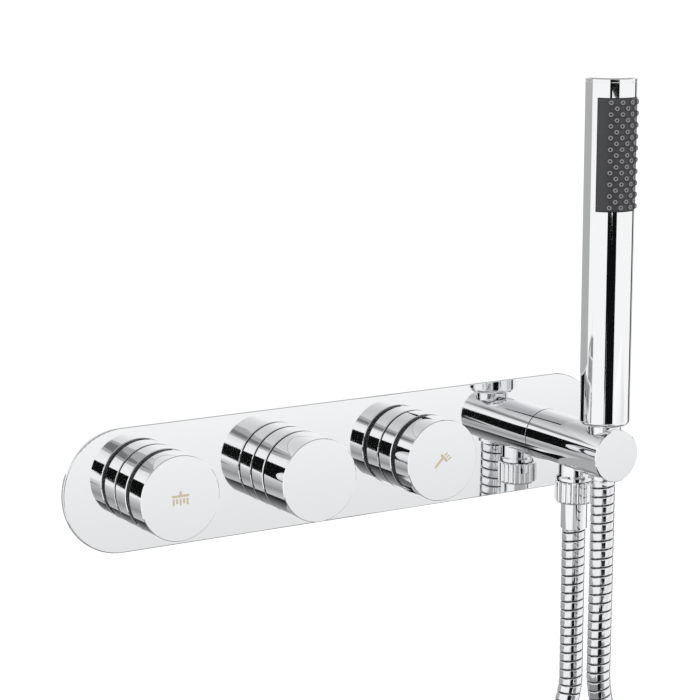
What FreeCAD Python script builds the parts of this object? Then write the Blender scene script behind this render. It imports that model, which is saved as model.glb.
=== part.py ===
"""Thermostatic shower valve with two flow knobs, a temperature knob, an outlet holder and a hand shower on
a hose.

Frame: +Z up, +X to the right as the user sees it, +Y into the wall. The origin is the centre of the face
plate on the finished wall (the plane Y = 0). The three knob axes and the holder axis run along Y. Sizes are
in millimetres.
"""
import FreeCAD, Part
import math
import os
import Sketcher
from FreeCAD import Placement, Rotation, Vector

doc = FreeCAD.newDocument("shower_valve")
sizes = doc.addObject("Spreadsheet::Sheet", "Sizes")
places = doc.addObject("Spreadsheet::Sheet", "Places")

# --------------------------------------------------------------------------------------------------
# Driving sizes. Each is written once here, and everything else reads it.
# --------------------------------------------------------------------------------------------------
SIZES = {
    # Face plate and the seal behind it
    "plate_length": 378.5, "plate_height": 73.6, "plate_thick": 2.5, "plate_round": 0.7, "seal_thick": 1.5,
    "seal_inset": 3.0, "seal_width": 7.0, "plate_hole_gap": 0.4,
    # Where the four stations stand on the plate
    "temp_x": -43.0, "knob_pitch": 89.0, "holder_pitch": 102.0, "holder_drop": 2.0,
    # Knobs and the fixed collars behind them
    "knob_dia": 50.0, "knob_wall": 2.0, "knob_face": 3.0, "knob_chamfer": 0.4, "hub_dia": 16.0,
    "hub_reach": 7.0, "flow_knob_length": 15.0, "flow_groove": 5.0, "temp_knob_length": 22.6,
    "temp_groove": 1.9, "collar_length": 12.7, "collar_gap": 0.8, "collar_step": 1.5, "collar_wall": 1.8,
    "collar_web": 4.0, "glide_gap": 0.3, "glide_wall": 2.0, "grub_dia": 4.0, "grub_length": 3.2,
    "grub_hex": 2.0, "grub_from_face": 8.0,
    # Valve body behind the wall
    "tower_front": 3.0, "tower_dia": 40.0, "temp_tower_dia": 42.0, "tower_depth": 44.0, "rear_dia": 32.0,
    "rear_wall": 4.0, "seat_depth": 17.5, "rail_depth": 53.0, "rail_dia": 20.0, "rail_bore": 14.0,
    "flow_port_depth": 24.5, "cold_depth": 25.5, "hot_depth": 36.5, "inlet_pipe_dia": 19.0,
    "inlet_pipe_bore": 12.0, "inlet_boss_dia": 27.0, "socket_bore": 15.2, "socket_depth": 12.0,
    "inlet_reach": 40.0, "inlet_half_pitch": 44.5, "gallery_length": 8.0, "gallery_dia": 33.0,
    "port_dia": 24.0, "overhead_reach": 33.0, "holder_boss_dia": 30.0,
    # Sleeves that hold the cartridges, and the plate's collars on them
    "sleeve_dia": 34.0, "sleeve_bore": 21.2, "sleeve_front": 9.5, "thread_gap": 0.1,
    # Ceramic flow cartridge
    "flange_dia": 33.0, "flange_thick": 4.0, "boss_dia": 20.6, "boss_length": 8.0, "flow_barrel_dia": 24.0,
    "flow_barrel_end": 44.0, "flow_cavity_dia": 19.2, "barrel_gap": 0.2, "disc_thick": 3.5,
    "disc_gap": 0.05, "disc_dia": 18.6, "disc_hole_inner": 6.0, "disc_hole_outer": 15.0,
    "window_length": 7.0, "window_width": 9.0, "carrier_width": 6.0, "carrier_span": 16.0,
    "carrier_bite": 1.5, "moving_disc_front": 29.3, "lip_seal_dia": 19.0,
    # Spindles
    "spindle_dia": 8.0, "spline_dia": 8.4, "spline_depth": 0.6, "shaft_gap": 0.15, "spindle_end_gap": 0.4,
    "spindle_stop_dia": 12.0, "spindle_stop_thick": 2.0, "ring_section": 2.0,
    # Thermostatic cartridge
    "temp_barrel_dia": 30.0, "temp_barrel_end": 46.0, "temp_cavity_dia": 24.8, "hex_bore": 15.0,
    "hex_gap": 0.2, "bearing_web": 3.0, "drive_screw_dia": 7.0, "drive_nut_front": 12.0,
    "drive_nut_end": 28.0, "cup_floor": 19.0, "cup_dia": 11.8, "element_head_front": 25.3,
    "element_head_thick": 1.7, "element_head_dia": 11.2, "element_pin_dia": 4.0, "element_pin_length": 2.5,
    "element_dia": 10.0, "element_end": 43.5, "shuttle_front": 27.0, "shuttle_end": 36.5,
    "shuttle_wall": 1.9, "shuttle_gap": 0.2, "web_front": 31.0, "web_thick": 3.0, "rear_lip": 2.0,
    "rear_lip_bore": 15.2, "spring_wire": 1.5, "overload_wire": 1.2, "spring_seat_gap": 0.3,
    "overload_turns": 2.5, "return_turns": 3.0, "return_coil_dia": 18.4, "stop_ring_dia": 30.0,
    "stop_ring_thick": 2.5, "stop_lug_height": 3.4, "stop_rib_reach": 13.0, "stop_rib_width": 4.0,
    "stop_rib_height": 2.6, "stop_rib_bite": 2.4,
    # Check valves in the inlets
    "check_dia": 13.0, "check_gap": 0.1, "check_bore": 10.0, "check_length": 16.0, "poppet_dia": 9.0,
    "poppet_stem_dia": 3.0, "check_spring_dia": 7.0, "check_wire": 0.9, "check_turns": 4.0,
    # Mounting bracket
    "bracket_length": 276.0, "bracket_height": 46.0, "bracket_thick": 2.5, "bracket_x": -7.0,
    "bracket_drop": 8.0, "wall_hole_dia": 6.5, "wall_hole_pitch": 199.0, "wall_hole_drop": 22.0,
    "screw_dia": 5.0, "screw_head_dia": 9.0, "screw_head_height": 3.0, "screw_bite": 3.0,
    # Outlet holder
    "holder_dia": 32.7, "holder_length": 73.0, "holder_chamfer": 0.5, "outlet_from_plate": 31.0,
    "rest_from_plate": 60.0, "cone_top_dia": 21.6, "cone_bottom_dia": 19.0, "cone_gap": 0.3,
    "tail_dia": 20.9, "tail_bore": 12.0, "tail_reach": 18.0, "tail_depth": 15.0, "waterway_dia": 11.0,
    "nipple_dia": 20.6, "nipple_bore": 12.0, "nipple_up": 8.0, "nipple_down": 32.0, "bead_dia": 23.6,
    "bead_top": 21.6, "bead_bottom": 25.2, "nipple_thread_dia": 19.6, "holder_grub_from_plate": 9.0,
    # Hose and its ends
    "hose_dia": 15.0, "hose_bore": 9.0, "rib_depth": 0.8, "rib_pitch": 5.65, "nut_dia": 25.2,
    "nut_top": 25.4, "nut_round": 0.8, "nut_bottom": 39.4, "nut_lobes": 24.0, "nut_groove": 0.7,
    "ferrule_dia": 16.8, "ferrule_bottom": 56.4, "washer_thick": 2.0, "coil_dia": 160.0,
    "coil_level": -402.0, "coil_pitch": 16.5, "coil_lead": 112.0, "coil_start_back": 2.5, "tie_width": 14.0,
    "tie_thick": 1.6, "tie_gap": 0.7,
    # Hand shower
    "handset_dia": 31.0, "handset_bottom": 16.0, "handset_top": 229.2, "handset_round": 3.0,
    "handset_wall": 1.6, "handset_foot": 8.0, "cap_height": 2.4, "cap_gap": 0.3, "cap_plug": 5.0,
    "face_bottom": 149.1, "face_top": 217.6, "face_half_angle": 69.0, "face_thick": 2.4, "face_proud": 0.3,
    "face_seat_gap": 0.15, "nozzle_rows": 19.0, "nozzle_pitch": 3.49, "nozzle_step": 24.8,
    "nozzle_base_dia": 3.4, "nozzle_tip_dia": 2.2, "nozzle_height": 1.2, "nozzle_hole_dia": 1.0,
    "connector_dia": 16.6, "connector_bore": 10.0, "connector_down": 13.0, "upper_nut_length": 33.0,
    "upper_nut_gap": 0.3, "swivel_flange": 1.6,
}

# --------------------------------------------------------------------------------------------------
# Places worked out from the driving sizes, as formulas of a second sheet.
# --------------------------------------------------------------------------------------------------
PLACES = {
    "plate_back": "-Sizes.seal_thick",
    "plate_front": "-(Sizes.seal_thick + Sizes.plate_thick)",
    "left_x": "Sizes.temp_x - Sizes.knob_pitch",
    "right_x": "Sizes.temp_x + Sizes.knob_pitch",
    "holder_x": "Sizes.temp_x + Sizes.knob_pitch + Sizes.holder_pitch",
    "collar_front": "plate_front - Sizes.collar_gap - Sizes.collar_length",
    "collar_web_front": "plate_front - Sizes.collar_web",
    "flow_knob_back": "collar_front - Sizes.flow_groove",
    "flow_knob_front": "flow_knob_back - Sizes.flow_knob_length",
    "temp_knob_back": "collar_front - Sizes.temp_groove",
    "temp_knob_front": "temp_knob_back - Sizes.temp_knob_length",
    "hub_end": "collar_front + Sizes.hub_reach - 5",
    "flange_front": "Sizes.seat_depth - Sizes.flange_thick",
    "boss_front": "flange_front - Sizes.boss_length",
    "body_back": "Sizes.rail_depth + Sizes.rail_bore / 2 + Sizes.rear_wall",
    "fixed_disc_front": "Sizes.moving_disc_front + Sizes.disc_thick + Sizes.disc_gap",
    "lip_seal_front": "fixed_disc_front + Sizes.disc_thick",
    "holder_front": "plate_front - Sizes.holder_length",
    "outlet_y": "plate_front - Sizes.outlet_from_plate",
    "rest_y": "plate_front - Sizes.rest_from_plate",
    "holder_z": "-Sizes.holder_drop",
    "holder_bottom": "holder_z - Sizes.holder_dia / 2",
    "upper_nut_top": "Sizes.handset_bottom - Sizes.upper_nut_gap",
    "upper_nut_bottom": "upper_nut_top - Sizes.upper_nut_length",
    "hose_up_start": "upper_nut_bottom - 1.5",
    "lower_ferrule_end": "-Sizes.ferrule_bottom",
}


def fill_sheet(target, entries):
    """Write name, value and alias of each entry, one row each."""
    for row, (alias, value) in enumerate(entries.items(), start=1):
        target.set(f"A{row}", alias)
        target.set(f"B{row}", str(value) if not isinstance(value, str) else "=" + value)
        target.setAlias(f"B{row}", alias)


fill_sheet(sizes, SIZES)
fill_sheet(places, PLACES)
doc.recompute()


def number(expression):
    """The present value of a formula of the two sheets, in millimetres."""
    result = sizes.evalExpression(str(expression))
    return float(getattr(result, "Value", result))


# --------------------------------------------------------------------------------------------------
# Helpers for bodies, sketches and features
# --------------------------------------------------------------------------------------------------
ROOT, CENTRE, START, END = 1, 3, 1, 2
X_AXIS, Y_AXIS = -1, -2


def place_at(thing, spot):
    """Bind a piece's position to three formulas."""
    for axis, formula in zip("xyz", spot):
        thing.setExpression(f"Placement.Base.{axis}", str(formula))


def new_body(label, spot):
    body = doc.addObject("PartDesign::Body", label)
    body.Label = label
    place_at(body, spot)
    return body


def new_sketch(body, plane, lift="0"):
    """A sketch on one of the body's own origin planes, lifted along the plane's normal."""
    sketch = body.newObject("Sketcher::SketchObject", "Sketch")
    origin = next(item for item in body.Origin.OriginFeatures if item.Role == plane)
    sketch.AttachmentSupport = [(origin, "")]
    sketch.MapMode = "FlatFace"
    if lift != "0":
        sketch.setExpression("AttachmentOffset.Base.z", lift)
    return sketch


def bind(sketch, kind, *where_and_formula):
    """Add a constraint whose value is a formula."""
    *where, formula = where_and_formula
    index = sketch.addConstraint(Sketcher.Constraint(kind, *where, number(formula)))
    sketch.setExpression(f"Constraints[{index}]", str(formula))


def pin_point(sketch, item, end, across, up):
    """Fix a point of the sketch at two formulas; "0" puts it on the sketch's axis."""
    for kind, axis, formula in (("DistanceX", Y_AXIS, across), ("DistanceY", X_AXIS, up)):
        if str(formula) == "0":
            sketch.addConstraint(Sketcher.Constraint("PointOnObject", item, end, axis))
        else:
            bind(sketch, kind, -1, ROOT, item, end, formula)


def draw_outline(sketch, corners):
    """A closed run of straight edges through corners given as pairs of formulas."""
    points = [Vector(number(across), number(up), 0) for across, up in corners]
    count = len(points)
    for i in range(count):
        sketch.addGeometry(Part.LineSegment(points[i], points[(i + 1) % count]), False)
    for i in range(count):
        sketch.addConstraint(Sketcher.Constraint("Coincident", i, END, (i + 1) % count, START))
    for i, (across, up) in enumerate(corners):
        pin_point(sketch, i, START, across, up)


def draw_circle(sketch, across, up, diameter):
    circle = Part.Circle(Vector(number(across), number(up), 0), Vector(0, 0, 1), number(diameter) / 2)
    index = sketch.addGeometry(circle, False)
    pin_point(sketch, index, CENTRE, across, up)
    bind(sketch, "Diameter", index, diameter)


def draw_box(sketch, middle, width, height, axis=Y_AXIS):
    """A rectangle centred on one of the sketch's axes, at a distance from the origin given by the formula
    `middle`."""
    wide, tall, at = number(width) / 2, number(height) / 2, number(middle)
    over, up = (0, at) if axis == Y_AXIS else (at, 0)
    points = [Vector(over + a * wide, up + b * tall, 0) for a, b in ((-1, -1), (1, -1), (1, 1), (-1, 1))]
    first = sketch.GeometryCount
    for i in range(4):
        sketch.addGeometry(Part.LineSegment(points[i], points[(i + 1) % 4]), False)
    for i in range(4):
        sketch.addConstraint(Sketcher.Constraint("Coincident", first + i, END, first + (i + 1) % 4, START))
    crossed = first if axis == Y_AXIS else first + 1
    sketch.addConstraint(Sketcher.Constraint("Symmetric", crossed, START, crossed, END, axis))
    for item in range(first, first + 4):
        if item != crossed:
            level = (item - first) % 2 == 0
            sketch.addConstraint(Sketcher.Constraint("Horizontal" if level else "Vertical", item))
    bind(sketch, "DistanceX", first, START, first, END, width)
    bind(sketch, "DistanceY", first + 1, START, first + 1, END, height)
    centre = sketch.addGeometry(Part.Point(Vector(over, up, 0)), True)
    sketch.addConstraint(Sketcher.Constraint("Symmetric", first, START, first + 2, START, centre, START))
    if str(middle) == "0":
        sketch.addConstraint(Sketcher.Constraint("PointOnObject", centre, START, X_AXIS if axis == Y_AXIS
                                                 else Y_AXIS))
    else:
        bind(sketch, "DistanceY" if axis == Y_AXIS else "DistanceX", -1, ROOT, centre, START, middle)


def turned(label, spot, outline, axis="Y"):
    """A body revolved about its own Y or Z axis from corners of (radius, distance along the axis)."""
    body = new_body(label, spot)
    sketch = new_sketch(body, "XY_Plane" if axis == "Y" else "XZ_Plane")
    draw_outline(sketch, outline)
    turn = body.newObject("PartDesign::Revolution", "Turning")
    turn.Profile = sketch
    turn.ReferenceAxis = (sketch, ["V_Axis"])
    turn.Angle = 360
    sketch.Visibility = False
    doc.recompute()
    return body


def cut_through(body, sketch, both_ways=False, depth=None):
    """Pocket a sketch: through all, through all both ways, or to a depth against the sketch's normal."""
    pocket = body.newObject("PartDesign::Pocket", "Pocket")
    pocket.Profile = sketch
    if depth is None:
        pocket.Type = "ThroughAll"
    else:
        pocket.Type = "Length"
        pocket.setExpression("Length", str(depth))
    pocket.Midplane = both_ways
    return pocket


def repeat_round(body, feature, sketch_plane_axis, count):
    """Repeat a feature in equal steps round one of the body's origin axes."""
    pattern = body.newObject("PartDesign::PolarPattern", "PolarPattern")
    pattern.Originals = [feature]
    axis = next(item for item in body.Origin.OriginFeatures if item.Role == sketch_plane_axis)
    pattern.Axis = (axis, [""])
    pattern.Angle = 360
    pattern.Occurrences = int(number(count))
    body.Tip = pattern
    return pattern


def round_edges(body, radius, picks, kind="Fillet"):
    """Fillet or chamfer the edges of the body's tip that the test picks."""
    doc.recompute()
    base = body.Tip
    names = [f"Edge{i}" for i, edge in enumerate(base.Shape.Edges, start=1) if picks(edge)]
    dress = body.newObject(f"PartDesign::{kind}", kind)
    dress.Base = (base, names)
    dress.setExpression("Radius" if kind == "Fillet" else "Size", str(radius))
    body.Tip = dress
    return dress


def check_cut(body, before, what):
    """A pocket that points away from the solid shows no error, so the volume is compared."""
    doc.recompute()
    after = body.Shape.Volume
    assert after < before - 1e-3, f"{body.Label}: {what} cut nothing"


def cylinder(axis, spot, diameter, length, name="Cylinder"):
    """A primitive cylinder from a spot along +X, +Y or +Z."""
    solid = doc.addObject("Part::Cylinder", name)
    solid.setExpression("Radius", f"({diameter}) / 2")
    solid.setExpression("Height", str(length))
    turn = {"X": Rotation(Vector(0, 1, 0), 90), "Y": Rotation(Vector(1, 0, 0), -90), "Z": Rotation()}[axis]
    solid.Placement = Placement(Vector(), turn)
    place_at(solid, spot)
    return solid


def cone(spot, bottom_diameter, top_diameter, height):
    solid = doc.addObject("Part::Cone", "Cone")
    solid.setExpression("Radius1", f"({bottom_diameter}) / 2")
    solid.setExpression("Radius2", f"({top_diameter}) / 2")
    solid.setExpression("Height", str(height))
    place_at(solid, spot)
    return solid


def fused(pieces, name="Fusion"):
    union = doc.addObject("Part::MultiFuse", name)
    union.Shapes = pieces
    return union


def cut(base, tools, label):
    """Base less the tools, as one labelled sub-part or an unlabelled step of one."""
    result = doc.addObject("Part::Cut", label)
    result.Base = base
    result.Tool = tools[0] if len(tools) == 1 else fused(tools)
    result.Label = label
    return result


def shaped(label, shape):
    """A sub-part whose shape comes from the modeller's own functions."""
    feature = doc.addObject("Part::Feature", label)
    feature.Label = label
    feature.Shape = shape
    return feature


def grouped(label, pieces):
    """Alike pieces that share one node, still as separate solids."""
    group = doc.addObject("Part::Compound", label)
    group.Links = pieces
    group.Label = label
    return group


NODES = []


def node(thing):
    NODES.append(thing)
    return thing


STATIONS = {"left": "Places.left_x", "temp": "Sizes.temp_x", "right": "Places.right_x"}
FLOW_SIDES = ("left", "right")
THREAD = "Sizes.thread_gap"


# --------------------------------------------------------------------------------------------------
# Face plate, seal, collars and knobs
# --------------------------------------------------------------------------------------------------
def draw_stadium(sketch, length, height):
    """Two half circles joined by straight edges, centred on the sketch's origin."""
    radius, reach = number(height) / 2, (number(length) - number(height)) / 2
    first = sketch.GeometryCount
    quarter = math.pi / 2
    right = Part.Circle(Vector(reach, 0, 0), Vector(0, 0, 1), radius)
    left = Part.Circle(Vector(-reach, 0, 0), Vector(0, 0, 1), radius)
    sketch.addGeometry(Part.ArcOfCircle(right, -quarter, quarter), False)
    sketch.addGeometry(Part.LineSegment(Vector(reach, radius, 0), Vector(-reach, radius, 0)), False)
    sketch.addGeometry(Part.ArcOfCircle(left, quarter, 3 * quarter), False)
    sketch.addGeometry(Part.LineSegment(Vector(-reach, -radius, 0), Vector(reach, -radius, 0)), False)
    for i in range(4):
        sketch.addConstraint(Sketcher.Constraint("Tangent", first + i, END, first + (i + 1) % 4, START))
    sketch.addConstraint(Sketcher.Constraint("Symmetric", first, CENTRE, first + 2, CENTRE, -1, ROOT))
    sketch.addConstraint(Sketcher.Constraint("PointOnObject", first, CENTRE, X_AXIS))
    bind(sketch, "DistanceX", -1, ROOT, first, CENTRE, f"(({length}) - ({height})) / 2")
    bind(sketch, "Radius", first, f"({height}) / 2")


def make_plate():
    """The plate is one flat pressing with rounded ends, a rounded front edge and a hole per station."""
    plate = new_body("face_plate", ("0", "Places.plate_back", "0"))
    outline = new_sketch(plate, "XZ_Plane")
    draw_stadium(outline, "Sizes.plate_length", "Sizes.plate_height")
    pad = plate.newObject("PartDesign::Pad", "Pad")
    pad.Profile = outline
    pad.setExpression("Length", "Sizes.plate_thick")
    doc.recompute()
    solid = plate.Shape.Volume
    holes = new_sketch(plate, "XZ_Plane", "Sizes.plate_thick")
    hole = "Sizes.sleeve_dia + 2 * Sizes.plate_hole_gap"
    for across in STATIONS.values():
        draw_circle(holes, across, "0", hole)
    draw_circle(holes, "Places.holder_x", "Places.holder_z", "Sizes.tail_dia + 2 * Sizes.plate_hole_gap")
    cut_through(plate, holes)
    check_cut(plate, solid, "the station holes")
    front = -number("Sizes.plate_thick")
    half = number("Sizes.plate_height") / 2 - 1

    def on_front_rim(edge):
        level = all(abs(vertex.Point.y - front) < 1e-4 for vertex in edge.Vertexes)
        far = all(math.hypot(max(abs(v.Point.x) - reach, 0), v.Point.z) > half for v in edge.Vertexes)
        return level and far

    reach = (number("Sizes.plate_length") - number("Sizes.plate_height")) / 2
    round_edges(plate, "Sizes.plate_round", on_front_rim)
    return node(plate)


def make_seal():
    """A soft frame behind the plate's rim keeps water out of the wall."""
    seal = new_body("plate_seal", ("0", "0", "0"))
    band = new_sketch(seal, "XZ_Plane")
    outer = "- 2 * Sizes.seal_inset"
    inner = "- 2 * Sizes.seal_inset - 2 * Sizes.seal_width"
    draw_stadium(band, f"Sizes.plate_length {outer}", f"Sizes.plate_height {outer}")
    draw_stadium(band, f"Sizes.plate_length {inner}", f"Sizes.plate_height {inner}")
    pad = seal.newObject("PartDesign::Pad", "Pad")
    pad.Profile = band
    pad.setExpression("Length", "Sizes.seal_thick")
    return node(seal)


def make_collar(side, across):
    """A fixed ring behind each knob, screwed on the sleeve; it clamps the plate and holds the glide ring."""
    radius, chamfer = "Sizes.knob_dia / 2", "Sizes.knob_chamfer"
    whole = "Sizes.collar_length + Sizes.collar_gap"
    cavity = "Sizes.knob_dia / 2 - Sizes.collar_wall"
    bore = f"Sizes.sleeve_dia / 2 + {THREAD}"
    foot = "Sizes.knob_dia / 2 - Sizes.collar_step"
    web = f"{whole} - Sizes.collar_web"
    outline = [
        (cavity, "0"), (f"{radius} - {chamfer}", "0"), (radius, chamfer),
        (radius, f"Sizes.collar_length - {chamfer}"), (f"{radius} - {chamfer}", "Sizes.collar_length"),
        (foot, "Sizes.collar_length"), (foot, whole), (bore, whole), (bore, web), (cavity, web),
    ]
    return node(turned(f"collar_{side}", (across, "Places.collar_front", "0"), outline))


def make_glide_ring(side, across, knob_back):
    """The dark ring that shows in the groove: it centres the knob's skirt on the collar."""
    length = f"Places.collar_web_front - {knob_back} - Sizes.glide_gap"
    outer = "Sizes.knob_dia / 2 - Sizes.collar_wall - Sizes.shaft_gap"
    inner = f"{outer} - Sizes.glide_wall"
    bore = f"Sizes.sleeve_dia / 2 + {THREAD}"
    web = f"{length} - 1.5"
    outline = [(inner, "0"), (outer, "0"), (outer, length), (bore, length), (bore, web), (inner, web)]
    return node(turned(f"glide_ring_{side}", (across, f"{knob_back} + Sizes.glide_gap", "0"), outline))


def make_knob(side, across, front, length):
    """A turned cup with a closed face, a hub bored for the spindle and a grub screw hole from below."""
    radius, chamfer = "Sizes.knob_dia / 2", "Sizes.knob_chamfer"
    inner = "Sizes.knob_dia / 2 - Sizes.knob_wall"
    hub, bore = "Sizes.hub_dia / 2", "Sizes.spline_dia / 2 + Sizes.thread_gap"
    hub_length = f"Places.hub_end - {front}"
    outline = [
        ("0", "0"), (f"{radius} - {chamfer}", "0"), (radius, chamfer), (radius, f"{length} - {chamfer}"),
        (f"{radius} - {chamfer}", length), (inner, length), (inner, "Sizes.knob_face"),
               (hub, "Sizes.knob_face"),
        (hub, hub_length), (bore, hub_length), (bore, "Sizes.knob_face"), ("0", "Sizes.knob_face"),
    ]
    knob = turned(f"knob_{side}", (across, front, "0"), outline)
    if side == "temp":
        rib = new_sketch(knob, "XZ_Plane", f"-({hub_length} + Sizes.stop_rib_bite)")
        reach = "Sizes.stop_rib_reach - Sizes.hub_dia / 2 + 1"
        draw_box(rib, f"Sizes.stop_rib_reach - ({reach}) / 2", "Sizes.stop_rib_width", reach)
        pad = knob.newObject("PartDesign::Pad", "Pad")
        pad.Profile = rib
        pad.setExpression("Length", "Sizes.stop_rib_height + Sizes.stop_rib_bite")
    doc.recompute()
    solid = knob.Shape.Volume
    hole = new_sketch(knob, "XY_Plane")
    draw_circle(hole, "0", "Sizes.grub_from_face", "Sizes.grub_dia + 2 * Sizes.thread_gap")
    cut_through(knob, hole)
    check_cut(knob, solid, "the grub screw hole")
    return node(knob)


def make_grub(label, spot):
    """A headless screw along Z with a hexagon socket in its lower end."""
    radius = "Sizes.grub_dia / 2"
    outline = [("0", "0"), (f"{radius} - 0.3", "0"), (radius, "0.3"), (radius, "Sizes.grub_length"),
               ("0", "Sizes.grub_length")]
    grub = turned(label, spot, outline, "Z")
    solid = grub.Shape.Volume
    socket = new_sketch(grub, "XY_Plane")
    corner = number("Sizes.grub_hex") / math.sqrt(3)
    corners = [(corner * math.cos(math.radians(60 * i)), corner * math.sin(math.radians(60 * i)))
               for i in range(6)]
    for i in range(6):
        here, there = corners[i], corners[(i + 1) % 6]
        socket.addGeometry(Part.LineSegment(Vector(*here, 0), Vector(*there, 0)), False)
    pocket = cut_through(grub, socket, depth="Sizes.grub_length / 2")
    pocket.Reversed = True
    check_cut(grub, solid, "the hexagon socket")
    return node(grub)


def make_sleeves():
    """Threaded brass sleeves: each holds a cartridge down and comes through the plate to carry a collar."""
    bore, radius = "Sizes.sleeve_bore / 2", "Sizes.sleeve_dia / 2"
    length = "Sizes.sleeve_front + Places.flange_front"
    outline = [(bore, "0.8"), (f"{bore} + 0.8", "0"), (f"{radius} - 0.8", "0"), (radius, "0.8"),
               (radius, length), (bore, length)]
    sleeves = [turned(f"Sleeve_{side}", (across, "-Sizes.sleeve_front", "0"), outline)
               for side, across in STATIONS.items()]
    return node(grouped("retaining_sleeves", sleeves))


# --------------------------------------------------------------------------------------------------
# Ceramic flow cartridges
# --------------------------------------------------------------------------------------------------
def housing_outline(barrel, end, cavity, cavity_front, bore):
    """Boss, flange and barrel outside; spindle bore and cavity inside. Depths start at the boss."""
    start = "Places.boss_front"
    flange = f"Places.flange_front - {start}"
    seat = f"Sizes.seat_depth - {start}"
    boss, rim = "Sizes.boss_dia / 2", "Sizes.flange_dia / 2"
    return [(bore, "0"), (boss, "0"), (boss, flange), (rim, flange), (rim, seat), (f"{barrel} / 2", seat),
            (f"{barrel} / 2", f"{end} - {start}"), (f"{cavity} / 2", f"{end} - {start}"),
            (f"{cavity} / 2", f"{cavity_front} - {start}"), (bore, f"{cavity_front} - {start}")]


def make_flow_housing(side, across):
    """The cartridge's brass shell, with a gland for the spindle's ring and two side windows for water."""
    gland = "Sizes.spindle_dia / 2 + Sizes.ring_section"
    bore = "Sizes.spindle_dia / 2 + Sizes.shaft_gap"
    cavity_front = "Sizes.seat_depth + 2"
    outline = housing_outline("Sizes.flow_barrel_dia", "Sizes.flow_barrel_end", "Sizes.flow_cavity_dia",
                              cavity_front, bore)
    outline += [(bore, "3 + Sizes.ring_section"), (gland, "3 + Sizes.ring_section"), (gland, "3"),
                (bore, "3")]
    housing = turned(f"flow_housing_{side}", (across, "Places.boss_front", "0"), outline)
    solid = housing.Shape.Volume
    window = new_sketch(housing, "YZ_Plane")
    draw_box(window, "Sizes.flow_port_depth - Places.boss_front", "Sizes.window_length",
             "Sizes.window_width", X_AXIS)
    cut_through(housing, window, both_ways=True)
    check_cut(housing, solid, "the side windows")
    return node(housing)


def spline_teeth(body, length):
    """Twenty shallow grooves along the front end of a spindle."""
    solid = body.Shape.Volume
    groove = new_sketch(body, "XZ_Plane")
    draw_circle(groove, "0", "Sizes.spline_dia / 2", "Sizes.spline_depth * 2")
    pocket = cut_through(body, groove, depth=length)
    repeat_round(body, pocket, "Y_Axis", 20)
    check_cut(body, solid, "the spline")


def make_flow_spindle(side, across):
    """Splined front, plain shaft, stop flange inside the housing and a flat that drives the disc."""
    front = "Places.flow_knob_front + Sizes.knob_face + Sizes.spindle_end_gap"
    shaft, spline = "Sizes.spindle_dia / 2", "Sizes.spline_dia / 2"
    stop, stop_front = "Sizes.spindle_stop_dia / 2", f"Sizes.seat_depth + 2.3 - ({front})"
    spline_end = f"Places.hub_end + 1 - ({front})"
    end = f"Sizes.moving_disc_front - 2 - ({front})"
    outline = [("0", "0"), (f"{spline} - 0.5", "0"), (spline, "0.5"), (spline, spline_end),
               (shaft, spline_end),
               (shaft, stop_front), (stop, stop_front), (stop, f"{stop_front} + Sizes.spindle_stop_thick"),
               (shaft, f"{stop_front} + Sizes.spindle_stop_thick"), (shaft, end), ("0", end)]
    spindle = turned(f"flow_spindle_{side}", (across, front, "0"), outline)
    carrier = new_sketch(spindle, "XZ_Plane", f"-({end} - 0.5)")
    draw_box(carrier, "0", "Sizes.carrier_width", "Sizes.carrier_span")
    pad = spindle.newObject("PartDesign::Pad", "Pad")
    pad.Profile = carrier
    pad.Reversed = True
    pad.setExpression("Length", "2.5 + Sizes.carrier_bite - 0.2")
    doc.recompute()
    spline_teeth(spindle, spline_end)
    return node(spindle)


def sector_holes(body, middle_angles):
    """Two holes between the inner and the outer circle, each 76 degrees wide."""
    solid = body.Shape.Volume
    holes = new_sketch(body, "XZ_Plane")
    inner, outer = number("Sizes.disc_hole_inner") / 2, number("Sizes.disc_hole_outer") / 2
    up = Vector(0, 0, 1)
    for middle in middle_angles:
        low, high = math.radians(middle - 38), math.radians(middle + 38)
        first = holes.GeometryCount
        holes.addGeometry(Part.ArcOfCircle(Part.Circle(Vector(), up, outer), low, high), False)
        holes.addGeometry(Part.ArcOfCircle(Part.Circle(Vector(), up, inner), low, high), False)
        for angle in (low, high):
            ray = Vector(math.cos(angle), math.sin(angle), 0)
            holes.addGeometry(Part.LineSegment(ray * inner, ray * outer), False)
        for arc, diameter in ((first, "Sizes.disc_hole_outer"), (first + 1, "Sizes.disc_hole_inner")):
            holes.addConstraint(Sketcher.Constraint("Coincident", arc, CENTRE, -1, ROOT))
            bind(holes, "Diameter", arc, diameter)
        for line, end in ((first + 2, START), (first + 3, END)):
            holes.addConstraint(Sketcher.Constraint("Coincident", line, START, first + 1, end))
            holes.addConstraint(Sketcher.Constraint("Coincident", line, END, first, end))
    cut_through(body, holes, both_ways=True)
    check_cut(body, solid, "the sector holes")


def make_discs(side, across):
    """Two lapped ceramic discs: at rest their holes stand a quarter turn apart, so the flow is shut."""
    rim, thick = "Sizes.disc_dia / 2", "Sizes.disc_thick"
    outline = [("0", "0"), (rim, "0"), (rim, thick), ("0", thick)]
    moving = turned(f"flow_moving_disc_{side}", (across, "Sizes.moving_disc_front", "0"), outline)
    solid = moving.Shape.Volume
    slot = new_sketch(moving, "XZ_Plane")
    draw_box(slot, "0", "Sizes.carrier_width + 0.3", "Sizes.disc_dia + 2")
    cut_through(moving, slot, depth="Sizes.carrier_bite")
    check_cut(moving, solid, "the carrier slot")
    sector_holes(moving, (0, 180))
    fixed = turned(f"flow_fixed_disc_{side}", (across, "Places.fixed_disc_front", "0"), outline)
    sector_holes(fixed, (90, 270))
    return node(moving), node(fixed)


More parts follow.
